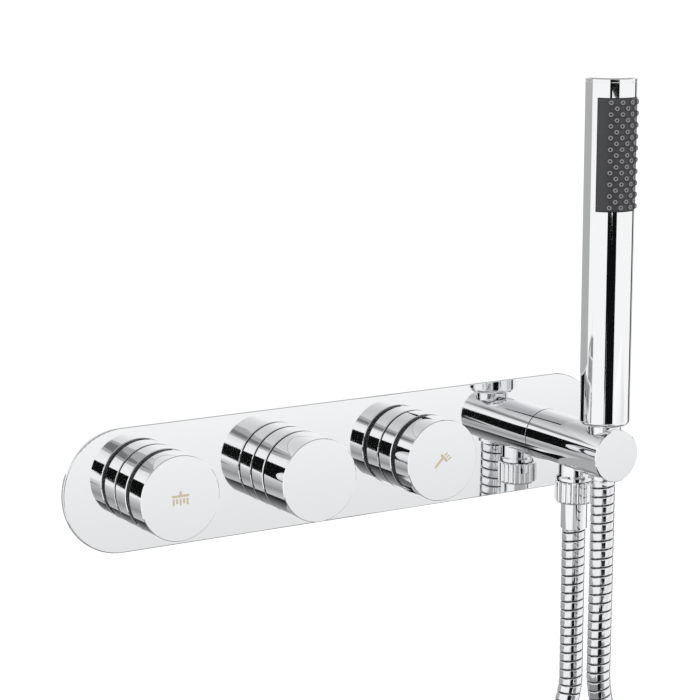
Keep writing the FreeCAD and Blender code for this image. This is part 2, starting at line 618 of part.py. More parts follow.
def make_flow_seals(side, across):
    """The spindle's ring in its gland, and the lip seal that presses the discs together."""
    ring = doc.addObject("Part::Torus", "SpindleRing")
    ring.setExpression("Radius1", "Sizes.spindle_dia / 2 + Sizes.ring_section / 2 + 0.05")
    ring.setExpression("Radius2", "Sizes.ring_section / 2 - 0.05")
    ring.Placement = Placement(Vector(), Rotation(Vector(1, 0, 0), 90))
    place_at(ring, (across, "Places.boss_front + 3 + Sizes.ring_section / 2", "0"))
    depth = "Sizes.flow_barrel_end + 0.6 - Places.lip_seal_front"
    outer = cylinder("Y", (across, "Places.lip_seal_front", "0"), "Sizes.lip_seal_dia", depth)
    inner = cylinder("Y", (across, "Places.lip_seal_front - 1", "0"), "Sizes.disc_hole_outer + 0.6",
                     f"{depth} + 2")
    lip = cut(outer, [inner], f"LipSeal{side}")
    return node(grouped(f"flow_seals_{side}", [ring, lip]))


# --------------------------------------------------------------------------------------------------
# Thermostatic cartridge
# --------------------------------------------------------------------------------------------------
RING_DEPTHS = ("Sizes.seat_depth + 1", "(Sizes.cold_depth + Sizes.hot_depth) / 2 - Sizes.ring_section / 2",
               "Sizes.temp_barrel_end - 3.6")


def make_temp_housing():
    """Shell with ring grooves, a hexagon bore that guides the drive nut, and cold and hot windows."""
    start = "Places.boss_front"
    bore = "Sizes.spindle_dia / 2 + 1 + Sizes.shaft_gap"
    barrel, groove = "Sizes.temp_barrel_dia / 2", "Sizes.temp_barrel_dia / 2 - Sizes.ring_section + 0.3"
    cavity_front = "Sizes.seat_depth + 2.5"
    lip_bore = "Sizes.rear_lip_bore / 2"
    outline = housing_outline("Sizes.temp_barrel_dia", "Sizes.temp_barrel_end", "Sizes.temp_cavity_dia",
                              cavity_front, bore)
    grooves = []
    for depth in RING_DEPTHS:
        near, far = f"{depth} - {start}", f"{depth} + Sizes.ring_section + 0.4 - {start}"
        grooves += [(barrel, near), (groove, near), (groove, far), (barrel, far)]
    lip = [(lip_bore, f"Sizes.temp_barrel_end - {start}"),
           (lip_bore, f"Sizes.temp_barrel_end - Sizes.rear_lip - {start}"),
           ("Sizes.temp_cavity_dia / 2", f"Sizes.temp_barrel_end - Sizes.rear_lip - {start}")]
    outline = outline[:6] + grooves + outline[6:7] + lip + outline[8:]
    housing = turned("thermo_housing", ("Sizes.temp_x", start, "0"), outline)
    solid = housing.Shape.Volume
    hexagon = new_sketch(housing, "XZ_Plane", f"-(Sizes.seat_depth + 2.5 - {start})")
    corner = number("Sizes.hex_bore") / math.sqrt(3)
    corners = [Vector(corner * math.cos(math.radians(60 * i)), corner * math.sin(math.radians(60 * i)), 0)
               for i in range(6)]
    for i in range(6):
        hexagon.addGeometry(Part.LineSegment(corners[i], corners[(i + 1) % 6]), False)
    pocket = cut_through(housing, hexagon, depth=f"Sizes.seat_depth + 2.5 - {start} - Sizes.bearing_web")
    pocket.Reversed = True
    check_cut(housing, solid, "the hexagon bore")
    for depth in ("Sizes.cold_depth", "Sizes.hot_depth"):
        solid = housing.Shape.Volume
        window = new_sketch(housing, "XY_Plane")
        draw_box(window, f"{depth} - {start}", "Sizes.window_width", "Sizes.window_length - 2")
        slot = cut_through(housing, window, both_ways=True)
        repeat_round(housing, slot, "Y_Axis", 4)
        check_cut(housing, solid, "a row of windows")
    return node(housing)


def make_temp_spindle():
    """The temperature knob's spindle: spline, bearing, thrust flange and drive screw."""
    front = "Places.temp_knob_front + Sizes.knob_face + Sizes.spindle_end_gap"
    spline, bearing = "Sizes.spline_dia / 2", "Sizes.spindle_dia / 2 + 1"
    flange, screw = "Sizes.hex_bore / 2 - 0.3", "Sizes.drive_screw_dia / 2"
    spline_end = f"Places.hub_end + 1 - ({front})"
    web_back = f"Places.boss_front + Sizes.bearing_web + Sizes.spring_seat_gap - ({front})"
    outline = [("0", "0"), (f"{spline} - 0.5", "0"), (spline, "0.5"), (spline, spline_end),
               (bearing, spline_end),
               (bearing, web_back), (flange, web_back), (flange, f"{web_back} + 1.5"),
               (screw, f"{web_back} + 1.5"),
               (screw, f"Sizes.cup_floor - 0.5 - ({front})"), ("0", f"Sizes.cup_floor - 0.5 - ({front})")]
    spindle = turned("thermo_spindle", ("Sizes.temp_x", front, "0"), outline)
    spline_teeth(spindle, spline_end)
    return node(spindle)


def make_drive_nut():
    """A hexagon nut that slides as the spindle's screw turns; its cup holds the overload spring."""
    nut = new_body("thermo_drive_nut", ("Sizes.temp_x", "Sizes.drive_nut_front", "0"))
    flats = new_sketch(nut, "XZ_Plane")
    corner = number("Sizes.hex_bore - 2 * Sizes.hex_gap") / math.sqrt(3)
    corners = [Vector(corner * math.cos(math.radians(60 * i)), corner * math.sin(math.radians(60 * i)), 0)
               for i in range(6)]
    for i in range(6):
        flats.addGeometry(Part.LineSegment(corners[i], corners[(i + 1) % 6]), False)
    pad = nut.newObject("PartDesign::Pad", "Pad")
    pad.Profile = flats
    pad.Reversed = True
    pad.setExpression("Length", "Sizes.drive_nut_end - Sizes.drive_nut_front")
    doc.recompute()
    solid = nut.Shape.Volume
    bore = new_sketch(nut, "XZ_Plane")
    draw_circle(bore, "0", "0", "Sizes.drive_screw_dia + 2 * Sizes.thread_gap")
    cut_through(nut, bore, both_ways=True)
    cup = new_sketch(nut, "XZ_Plane", "-(Sizes.drive_nut_end - Sizes.drive_nut_front)")
    draw_circle(cup, "0", "0", "Sizes.cup_dia")
    pocket = cut_through(nut, cup, depth="Sizes.drive_nut_end - Sizes.cup_floor")
    pocket.Reversed = True
    check_cut(nut, solid, "the bore and the cup")
    return node(nut)


def spring_shape(coil_dia, wire, length, turns):
    """A compression spring of square wire up from the origin; half its wire's width lies below."""
    radius, half = number(coil_dia) / 2, number(wire) / 2
    rise = (number(length) - 2 * half) / number(turns)
    helix = Part.makeHelix(rise, rise * number(turns), radius)
    square = ((-1, -1), (1, -1), (1, 1), (-1, 1), (-1, -1))
    corners = [Vector(radius + a * half, 0, b * half) for a, b in square]
    return Part.Wire(helix.Edges).makePipeShell([Part.makePolygon(corners)], True, True)


def temp_spring(label, front, coil_dia, wire, length, turns):
    """A spring of the thermostatic cartridge, along Y from a depth."""
    feature = shaped(label, spring_shape(coil_dia, wire, length, turns))
    spot = Vector(number("Sizes.temp_x"), number(f"{front} + {wire} / 2"), 0)
    feature.Placement = Placement(spot, Rotation(Vector(1, 0, 0), -90))
    return node(feature)


def make_element():
    """The wax element: head against the overload spring, pin, and a brass body that the shuttle rides on."""
    start = "Sizes.element_head_front"
    head, pin, body = "Sizes.element_head_dia / 2", "Sizes.element_pin_dia / 2", "Sizes.element_dia / 2"
    under = "Sizes.element_head_thick"
    pin_end = f"{under} + Sizes.element_pin_length"
    end = f"Sizes.element_end - {start}"
    outline = [("0", "0"), (head, "0"), (head, under), (pin, under), (pin, pin_end), (body, pin_end),
               (body, f"{end} - 1.5"), (f"{body} - 1.5", end), ("0", end)]
    return node(turned("wax_element", ("Sizes.temp_x", start, "0"), outline))


def make_shuttle():
    """A sleeve that opens the cold windows as it shuts the hot ones; its web has four water holes."""
    start = "Sizes.shuttle_front"
    rim = "Sizes.temp_cavity_dia / 2 - Sizes.shuttle_gap"
    wall, hub = f"{rim} - Sizes.shuttle_wall", "Sizes.element_dia / 2 + Sizes.disc_gap"
    end = f"Sizes.shuttle_end - {start}"
    near, far = f"Sizes.web_front - {start}", f"Sizes.web_front + Sizes.web_thick - {start}"
    outline = [(wall, "0"), (rim, "0"), (rim, end), (wall, end), (wall, far), (hub, far), (hub, near),
               (wall, near)]
    shuttle = turned("shuttle", ("Sizes.temp_x", start, "0"), outline)
    solid = shuttle.Shape.Volume
    hole = new_sketch(shuttle, "XZ_Plane")
    draw_circle(hole, "0", "(Sizes.element_dia + Sizes.temp_cavity_dia) / 4 - 0.6", "3.2")
    holes = cut_through(shuttle, hole, both_ways=True)
    repeat_round(shuttle, holes, "Y_Axis", 4)
    check_cut(shuttle, solid, "the water holes")
    return node(shuttle)


def make_temp_rings():
    """Three rings seal cold from hot and both from the mixed water."""
    rings = []
    for depth in RING_DEPTHS:
        ring = doc.addObject("Part::Torus", "BarrelRing")
        ring.setExpression("Radius1",
                           "Sizes.temp_barrel_dia / 2 + Sizes.barrel_gap / 2 - Sizes.ring_section / 2 + 0.1")
        ring.setExpression("Radius2", "Sizes.ring_section / 2 - 0.1")
        ring.Placement = Placement(Vector(), Rotation(Vector(1, 0, 0), 90))
        place_at(ring, ("Sizes.temp_x", f"{depth} + Sizes.ring_section / 2 + 0.2", "0"))
        rings.append(ring)
    return node(grouped("thermo_rings", rings))


def make_stop_ring():
    """The safety stop on the sleeve's front: the knob's rib turns between its two lugs."""
    bore = "Sizes.boss_dia / 2 + 0.6"
    rim = "Sizes.stop_ring_dia / 2"
    outline = [(bore, "0"), (rim, "0"), (rim, "Sizes.stop_ring_thick"), (bore, "Sizes.stop_ring_thick")]
    front = "-Sizes.sleeve_front - Sizes.stop_ring_thick"
    ring = turned("stop_ring", ("Sizes.temp_x", front, "0"), outline)
    for angle in (STOP_HOT + STOP_MARGIN, STOP_COLD - STOP_MARGIN):
        lug = new_sketch(ring, "XZ_Plane")
        middle, half = math.radians(90 + angle), math.radians(8)
        inner, outer = number(bore) + 0.4, number(rim)
        arcs = [(outer, middle - half, middle + half), (inner, middle - half, middle + half)]
        for radius, low, high in arcs:
            circle = Part.Circle(Vector(), Vector(0, 0, 1), radius)
            lug.addGeometry(Part.ArcOfCircle(circle, low, high), False)
        for side in (middle - half, middle + half):
            ray = Vector(math.cos(side), math.sin(side), 0)
            lug.addGeometry(Part.LineSegment(ray * inner, ray * outer), False)
        pad = ring.newObject("PartDesign::Pad", "Pad")
        pad.Profile = lug
        pad.setExpression("Length", "Sizes.stop_lug_height")
    return node(ring)


# Turn of the temperature knob from its rest at 38 degrees, seen from the front, anticlockwise positive.
STOP_HOT, STOP_COLD, STOP_MARGIN = 60, -150, 21


# --------------------------------------------------------------------------------------------------
# Valve body, check valves and bracket
# --------------------------------------------------------------------------------------------------
CHECK_BOTTOM = "(Sizes.socket_depth - Sizes.inlet_reach)"
SCREW_SPOTS = ("Places.left_x", "Sizes.temp_x", "Places.right_x")


def make_valve_body():
    """One brass casting: three towers, a mixed water rail, two inlets below and two outlet ports."""
    front, depth = "Sizes.tower_front", "Sizes.tower_depth"
    back = "Places.body_back"
    metal, water = [], []
    for side, across in STATIONS.items():
        wide = "Sizes.temp_tower_dia" if side == "temp" else "Sizes.tower_dia"
        metal.append(cylinder("Y", (across, front, "0"), wide, f"{depth} - {front}"))
        metal.append(cylinder("Y", (across, f"{depth} - 1", "0"), "Sizes.rear_dia", f"{back} - {depth} + 1"))
        water.append(cylinder("Y", (across, f"{front} - 1", "0"), f"Sizes.sleeve_dia + 2 * {THREAD}",
                              f"Sizes.seat_depth - {front} + 1"))
        barrel = "Sizes.temp_barrel_dia" if side == "temp" else "Sizes.flow_barrel_dia"
        end = "Sizes.temp_barrel_end + 0.3" if side == "temp" else "Sizes.flow_barrel_end + 0.6"
        water.append(cylinder("Y", (across, "Sizes.seat_depth - 1", "0"), f"{barrel} + 2 * Sizes.barrel_gap",
                              f"{end} - Sizes.seat_depth + 1"))
        chamber = "Sizes.rear_dia - 8" if side == "temp" else "Sizes.rail_bore + 1"
        water.append(cylinder("Y", (across, f"{end} - 1", "0"), chamber,
                              f"{back} - Sizes.rear_wall - {end} + 1"))
    rail_length = "2 * Sizes.knob_pitch"
    metal.append(cylinder("X", ("Places.left_x", "Sizes.rail_depth", "0"), "Sizes.rail_dia", rail_length))
    water.append(cylinder("X", ("Places.left_x", "Sizes.rail_depth", "0"), "Sizes.rail_bore", rail_length))
    for side in FLOW_SIDES:
        gallery = f"Sizes.flow_port_depth - Sizes.gallery_length / 2"
        water.append(cylinder("Y", (STATIONS[side], gallery, "0"), "Sizes.flow_barrel_dia + 6",
                              "Sizes.gallery_length"))
    for inlet, direction in (("cold", 1), ("hot", -1)):
        level = f"Sizes.{inlet}_depth"
        water.append(cylinder("Y", ("Sizes.temp_x", f"{level} - Sizes.gallery_length / 2", "0"),
                              "Sizes.gallery_dia",
                              "Sizes.gallery_length"))
        start = "Sizes.temp_x" if direction > 0 else "Sizes.temp_x - Sizes.inlet_half_pitch"
        foot = f"Sizes.temp_x {'+' if direction > 0 else '-'} Sizes.inlet_half_pitch"
        metal.append(cylinder("X", (start, level, "0"), "Sizes.inlet_pipe_dia", "Sizes.inlet_half_pitch"))
        inner_side = "Sizes.temp_x + Sizes.temp_barrel_dia / 2"
        near = inner_side if direction > 0 else f"{foot} - Sizes.check_bore / 2"
        reach = "Sizes.inlet_half_pitch - Sizes.temp_barrel_dia / 2 + Sizes.check_bore / 2"
        water.append(cylinder("X", (near, level, "0"), "Sizes.inlet_pipe_bore", reach))
        metal.append(cylinder("Z", (foot, level, "-Sizes.inlet_reach"), "Sizes.inlet_boss_dia",
                              "Sizes.inlet_reach + Sizes.inlet_pipe_dia / 2"))
        water.append(cylinder("Z", (foot, level, "-Sizes.inlet_reach - 1"), "Sizes.socket_bore",
                              "Sizes.socket_depth + 1"))
        water.append(cylinder("Z", (foot, level, CHECK_BOTTOM), "Sizes.check_dia + 2 * Sizes.check_gap",
                              "Sizes.check_length + 2"))
        water.append(cylinder("Z", (foot, level, "-Sizes.inlet_pipe_bore"), "Sizes.check_bore",
                              "Sizes.inlet_pipe_bore"))
    port = "Sizes.flow_port_depth"
    metal.append(cylinder("X", ("Places.left_x - Sizes.overhead_reach", port, "0"), "Sizes.port_dia",
                          "Sizes.overhead_reach"))
    end = "Places.left_x - Sizes.overhead_reach"
    water.append(cylinder("X", (f"{end} - 1", port, "0"), "Sizes.socket_bore", "Sizes.socket_depth + 1"))
    water.append(cylinder("X", (end, port, "0"), "Sizes.inlet_pipe_bore",
                          "Sizes.overhead_reach - Sizes.flow_barrel_dia / 2"))
    metal.append(cylinder("X", ("Places.right_x", port, "Places.holder_z"), "Sizes.inlet_pipe_dia",
                          "Sizes.holder_pitch"))
    water.append(cylinder("X", ("Places.right_x + Sizes.flow_barrel_dia / 2", port, "Places.holder_z"),
                          "Sizes.inlet_pipe_bore", "Sizes.holder_pitch - Sizes.flow_barrel_dia / 2"))
    metal.append(cylinder("Y", ("Places.holder_x", front, "Places.holder_z"), "Sizes.holder_boss_dia",
                          f"{port} + Sizes.inlet_pipe_dia / 2 - {front}"))
    water.append(cylinder("Y", ("Places.holder_x", f"{front} - 1", "Places.holder_z"),
                          f"Sizes.tail_dia + 2 * {THREAD}", f"Sizes.tail_depth + 0.5 - {front} + 1"))
    water.append(cylinder("Y", ("Places.holder_x", "Sizes.tail_depth", "Places.holder_z"),
                          "Sizes.inlet_pipe_bore",
                          f"{port} - Sizes.tail_depth"))
    for spot in SCREW_SPOTS:
        water.append(cylinder("Y", (spot, f"{back} - Sizes.screw_bite", "0"),
                              f"Sizes.screw_dia + 2 * {THREAD}",
                              "Sizes.screw_bite + 1"))
    return node(cut(fused(metal, "Casting"), water, "valve_body"))


def make_bracket():
    """A steel strip behind the casting, with two wall holes and a hole for each casting screw."""
    behind = "Places.body_back + Sizes.bracket_thick"
    bracket = new_body("mounting_bracket", ("Sizes.bracket_x", behind, "-Sizes.bracket_drop"))
    strip = new_sketch(bracket, "XZ_Plane")
    draw_stadium(strip, "Sizes.bracket_length", "Sizes.bracket_height")
    pad = bracket.newObject("PartDesign::Pad", "Pad")
    pad.Profile = strip
    pad.setExpression("Length", "Sizes.bracket_thick")
    doc.recompute()
    solid = bracket.Shape.Volume
    holes = new_sketch(bracket, "XZ_Plane", "Sizes.bracket_thick")
    for sign in ("-", ""):
        draw_circle(holes, f"{sign}Sizes.wall_hole_pitch / 2", "Sizes.bracket_drop - Sizes.wall_hole_drop",
                    "Sizes.wall_hole_dia")
    for spot in SCREW_SPOTS:
        draw_circle(holes, f"{spot} - Sizes.bracket_x", "Sizes.bracket_drop", "Sizes.screw_dia + 0.6")
    cut_through(bracket, holes)
    check_cut(bracket, solid, "the screw holes")
    return node(bracket)


def make_bracket_screws():
    """Three screws from behind hold the casting on the bracket."""
    screws = []
    length = "Sizes.bracket_thick + Sizes.screw_bite - 0.4"
    for spot in SCREW_SPOTS:
        shank = cylinder("Y", (spot, "Places.body_back - Sizes.screw_bite + 0.4", "0"), "Sizes.screw_dia",
                         length)
        head = cylinder("Y", (spot, "Places.body_back + Sizes.bracket_thick", "0"), "Sizes.screw_head_dia",
                        "Sizes.screw_head_height")
        screws.append(fused([shank, head], "Screw"))
    return node(grouped("bracket_screws", screws))


def make_check_cage(inlet, foot):
    """Seat ring and guide of a non-return valve, pressed into an inlet."""
    rim, bore, guide = "Sizes.check_dia / 2", "Sizes.check_bore / 2", "Sizes.poppet_stem_dia / 2 + 0.3"
    length, seat = "Sizes.check_length", "Sizes.poppet_dia / 2 - 0.8"
    outline = [(seat, "0"), (rim, "0"), (rim, length), (guide, length), (guide, f"{length} - 1.6"),
               (bore, f"{length} - 1.6"), (bore, "2.5"), (seat, "2.5")]
    cage = turned(f"Cage_{inlet}", (foot, f"Sizes.{inlet}_depth", CHECK_BOTTOM), outline, "Z")
    solid = cage.Shape.Volume
    hole = new_sketch(cage, "XY_Plane", length)
    draw_circle(hole, "0", "(Sizes.check_bore + Sizes.poppet_stem_dia) / 4 + 0.2", "2.4")
    holes = cut_through(cage, hole, depth="2")
    repeat_round(cage, holes, "Z_Axis", 4)
    check_cut(cage, solid, "the water holes")
    return cage


def make_check_poppet(inlet, foot):
    """The disc that the water lifts, with its guide stem, and the light spring that shuts it."""
    stem, head, length = "Sizes.poppet_stem_dia / 2", "Sizes.poppet_dia / 2", "Sizes.check_length - 2.8"
    outline = [("0", "0"), (head, "0"), (head, "1.6"), (stem, "1.6"), (stem, length), ("0", length)]
    level = f"Sizes.{inlet}_depth"
    node(turned(f"check_poppet_{inlet}", (foot, level, f"{CHECK_BOTTOM} + 2.8"), outline, "Z"))
    low = f"{CHECK_BOTTOM} + 4.6 + Sizes.check_wire / 2"
    coil = spring_shape("Sizes.check_spring_dia", "Sizes.check_wire", "Sizes.check_length - 6.4",
                        "Sizes.check_turns")
    feature = shaped(f"check_spring_{inlet}", coil)
    feature.Placement = Placement(Vector(number(foot), number(level), number(low)), Rotation())
    node(feature)


# --------------------------------------------------------------------------------------------------
# Outlet holder
# --------------------------------------------------------------------------------------------------
# How far the cone's radius grows per millimetre of height.
CONE_SLOPE = "((Sizes.cone_top_dia - Sizes.cone_bottom_dia) / 2 / Sizes.holder_dia)"


def make_holder():
    """A round bar: water comes in at its back and leaves below; its cone carries the hand shower."""
    across, level = "Places.holder_x", "Places.holder_z"
    bar = cylinder("Y", (across, "Places.holder_front", level), "Sizes.holder_dia", "Sizes.holder_length",
                   "Bar")
    bottom = "Places.holder_bottom"
    seat = cone((across, "Places.rest_y", f"{bottom} - 1"), f"Sizes.cone_bottom_dia - 2 * {CONE_SLOPE}",
                f"Sizes.cone_top_dia + 2 * {CONE_SLOPE}", "Sizes.holder_dia + 2")
    inlet = cylinder("Y", (across, "Places.plate_front - Sizes.tail_reach", level),
                     f"Sizes.tail_dia + 2 * {THREAD}",
                     "Sizes.tail_reach + 1")
    waterway = cylinder("Y", (across, "Places.outlet_y", level), "Sizes.waterway_dia",
                        "Sizes.outlet_from_plate - 10")
    outlet = cylinder("Z", (across, "Places.outlet_y", f"{bottom} - 1"), f"Sizes.nipple_dia + 2 * {THREAD}",
                      "Sizes.nipple_up + 1.2")
    riser = cylinder("Z", (across, "Places.outlet_y", bottom), "Sizes.waterway_dia", f"{level} - {bottom}")
    grub = cylinder("Z", (across, "Places.plate_front - Sizes.holder_grub_from_plate", f"{bottom} - 1"),
                    f"Sizes.grub_dia + 2 * {THREAD}", f"{level} - {bottom}")
    holder = cut(bar, [seat, inlet, waterway, outlet, riser, grub], "holder_body_raw")
    doc.recompute()
    ends = [number("Places.holder_front"), number("Places.plate_front")]
    rim = doc.addObject("Part::Chamfer", "holder_body")
    rim.Base = holder
    chamfer = number("Sizes.holder_chamfer")
    picks = []
    for index, edge in enumerate(holder.Shape.Edges, start=1):
        levels = [vertex.Point.y for vertex in edge.Vertexes]
        at_an_end = any(all(abs(level - end) < 1e-4 for level in levels) for end in ends)
        if at_an_end and edge.Length > 3 * number("Sizes.holder_dia"):
            picks.append((index, chamfer, chamfer))
    rim.Edges = picks
    rim.Label = "holder_body"
    return node(rim)


def make_holder_fittings():
    """The threaded tail from the casting, its locking screw, and the beaded nipple for the hose."""
    across, level = "Places.holder_x", "Places.holder_z"
    rim, bore = "Sizes.tail_dia / 2", "Sizes.tail_bore / 2"
    front = "Places.plate_front - Sizes.tail_reach + 0.5"
    length = f"Sizes.tail_depth - ({front})"
    outline = [(bore, "0"), (f"{rim} - 1", "0"), (rim, "1"), (rim, f"{length} - 1"), (f"{rim} - 1", length),
               (bore, length)]
    node(turned("holder_tail", (across, front, level), outline))
    spot = (across, "Places.plate_front - Sizes.holder_grub_from_plate",
            f"{level} - Sizes.tail_dia / 2 - 0.2 - Sizes.grub_length")
    make_grub("holder_grub_screw", spot)
    neck, rim, bore = "Sizes.nipple_dia / 2", "Sizes.nipple_thread_dia / 2", "Sizes.nipple_bore / 2"
    bottom, bead = "-Sizes.nipple_down", "Sizes.bead_dia / 2"
    length = "Sizes.nipple_down + Places.holder_bottom + Sizes.nipple_up"
    low, high = "Sizes.nipple_down - Sizes.bead_bottom", "Sizes.nipple_down - Sizes.bead_top"
    outline = [(bore, "0"), (f"{rim} - 0.8", "0"), (rim, "0.8"), (rim, low), (f"{bead} - 0.8", low),
               (bead, f"{low} + 0.8"), (bead, f"{high} - 1.2"), (neck, high), (neck, length), (bore, length)]
    node(turned("outlet_nipple", (across, "Places.outlet_y", bottom), outline, "Z"))


# --------------------------------------------------------------------------------------------------
# Hose and its fittings
# --------------------------------------------------------------------------------------------------
def make_lower_fittings():
    """Fluted hose nut on the nipple, its washer, and the crimped ferrule at the hose's end."""
    across, station = "Places.holder_x", "Places.outlet_y"
    radius, thread = "Sizes.nut_dia / 2", f"Sizes.nipple_thread_dia / 2 + {THREAD}"
    height = "Sizes.nut_bottom - Sizes.nut_top"
    throat = "Sizes.ferrule_dia / 2 - 2.2"
    floor = "Sizes.nut_bottom - Sizes.nipple_down - Sizes.washer_thick - Sizes.swivel_flange"
    outline = [(throat, "0"), (f"{radius} - 1.6", "0"), (radius, "1.6"),
               (radius, f"{height} - Sizes.nut_round"),
               (f"{radius} - Sizes.nut_round", height), (thread, height), (thread, floor), (throat, floor)]
    nut = turned("hose_nut_lower", (across, station, "-Sizes.nut_bottom"), outline, "Z")
    solid = nut.Shape.Volume
    lobe = new_sketch(nut, "XY_Plane", height)
    draw_circle(lobe, "0", f"{radius} + Sizes.nut_groove * 0.6", "Sizes.nut_groove * 3.2")
    flute = cut_through(nut, lobe)
    repeat_round(nut, flute, "Z_Axis", "Sizes.nut_lobes")
    check_cut(nut, solid, "the finger grooves")
    node(nut)
    make_washer("lower", (across, station, "-Sizes.nipple_down - Sizes.washer_thick"),
                "Sizes.nipple_bore / 2", thread)
    make_ferrule("lower", (across, station), "Sizes.ferrule_dia / 2", throat, "Sizes.ferrule_bottom",
                 "Sizes.nut_bottom", f"Sizes.nut_bottom - ({floor})")


def make_upper_fittings():
    """Smooth conical nut that sits in the holder's cone, its washer, and the ferrule inside it."""
    across, station = "Places.holder_x", "Places.rest_y"
    low = "Places.upper_nut_bottom"
    seat_radius = "Sizes.cone_bottom_dia / 2 - Sizes.cone_gap"
    low_radius = f"({seat_radius} + {CONE_SLOPE} * ({low} - Places.holder_bottom))"
    top_radius = f"({low_radius} + {CONE_SLOPE} * Sizes.upper_nut_length)"
    height = "Sizes.upper_nut_length"
    thread = f"Sizes.connector_dia / 2 + {THREAD}"
    washer_bottom = "Sizes.handset_bottom - Sizes.connector_down - Sizes.washer_thick"
    seat = f"({washer_bottom} - Sizes.swivel_flange - {low})"
    bore, throat = "Sizes.hose_dia / 2 + 0.4", "Sizes.hose_bore / 2 + 0.8"
    shelf = f"({seat} - 2.5)"
    outline = [(bore, "0"), (low_radius, "0"), (top_radius, height), (thread, height), (thread, seat),
               (throat, seat),
               (throat, shelf), (bore, shelf)]
    node(turned("hose_nut_upper", (across, station, low), outline, "Z"))
    make_washer("upper", (across, station, washer_bottom), "Sizes.connector_bore / 2", thread)
    make_ferrule("upper", (across, station), "Sizes.hose_dia / 2 + 0.1", throat, "-Places.hose_up_start",
                 f"-({low} + {shelf} - 0.3)", f"-({low} + {seat})")


def make_washer(end, spot, bore, thread):
    rim = f"{thread} - 0.3"
    outline = [(bore, "0"), (rim, "0"), (rim, "Sizes.washer_thick"), (bore, "Sizes.washer_thick")]
    node(turned(f"hose_washer_{end}", spot, outline, "Z"))


def make_ferrule(end, station, radius, throat, bottom, shoulder, seat):
    """A crimped sleeve: its neck runs through the nut's throat and its flange is pulled to the washer.

    Bottom, shoulder and seat are depths below the origin.
    """
    inner, neck, flange = "Sizes.hose_bore / 2 - 0.6", f"{throat} - 0.2", f"{throat} + 1.2"
    body, seat_up = f"{bottom} - ({shoulder})", f"{bottom} - ({seat})"
    top = f"{seat_up} + Sizes.swivel_flange"
    outline = [(inner, "0"), (radius, "0"), (radius, body), (neck, body), (neck, seat_up), (flange, seat_up),
               (flange, top), (inner, top)]
    node(turned(f"hose_ferrule_{end}", (*station, f"-({bottom})"), outline, "Z"))


# --------------------------------------------------------------------------------------------------
# Hand shower
# --------------------------------------------------------------------------------------------------
def make_handset():
    """A slim tube with a rounded foot and a window at its front for the spray face.

    It is drawn with the window towards its own +X and turned a quarter so that the window faces the user.
    """
    across, station = "Places.holder_x", "Places.rest_y"
    radius, foot = "Sizes.handset_dia / 2", "Sizes.handset_foot"
    height = "Sizes.handset_top - Sizes.cap_height - Sizes.cap_gap - Sizes.handset_bottom"
    inner = "Sizes.handset_dia / 2 - Sizes.handset_wall"
    socket = f"Sizes.connector_dia / 2 + {THREAD}"
    outline = [(socket, "0"), (radius, "0"), (radius, height), (inner, height), (inner, foot),
               (socket, foot)]
    body = turned("handset_body", (across, station, "Sizes.handset_bottom"), outline, "Z")
    body.Placement.Rotation = Rotation(Vector(0, 0, 1), -90)

    def on_foot(edge):
        curve = edge.Curve
        is_circle = curve.TypeId == "Part::GeomCircle"
        return is_circle and abs(curve.Center.z) < 1e-4 and abs(curve.Radius - number(radius)) < 1e-4

    round_edges(body, "Sizes.handset_round", on_foot)
    doc.recompute()
    solid = body.Shape.Volume
    window = new_sketch(body, "XZ_Plane")
    low, high = "Sizes.face_bottom - Sizes.handset_bottom", "Sizes.face_top - Sizes.handset_bottom"
    near, far = f"{inner} - 1", f"{radius} + 1"
    draw_outline(window, [(near, low), (far, low), (far, high), (near, high)])
    groove = body.newObject("PartDesign::Groove", "Window")
    groove.Profile = window
    groove.ReferenceAxis = (window, ["V_Axis"])
    groove.Midplane = True
    groove.setExpression("Angle", "2 * Sizes.face_half_angle")
    check_cut(body, solid, "the spray window")
    node(body)
    make_handset_cap(across, station, inner)


def make_handset_cap(across, station, tube_bore):
    """A hollow plug that closes the tube's top with a thin seam under its rim."""
    rim, skirt = "Sizes.handset_dia / 2", f"{tube_bore} - {THREAD}"
    plug, top = "Sizes.cap_plug", "Sizes.cap_plug + Sizes.cap_height"
    outline = [(skirt, "0"), (skirt, plug), (rim, plug), (rim, f"{top} - 0.8"), (f"{rim} - 0.8", top),
               ("0", top),
               ("0", f"{plug} + 0.4"), (f"{skirt} - 2", f"{plug} + 0.4"), (f"{skirt} - 2", "0")]
    node(turned("handset_cap", (across, station, f"Sizes.handset_top - ({top})"), outline, "Z"))


def arc_point(radius, degrees_from_front):
    """A point on the handset's circle, measured from straight ahead (-Y) towards +X."""
    angle = math.radians(degrees_from_front)
    return Vector(radius * math.sin(angle), -radius * math.cos(angle), 0)


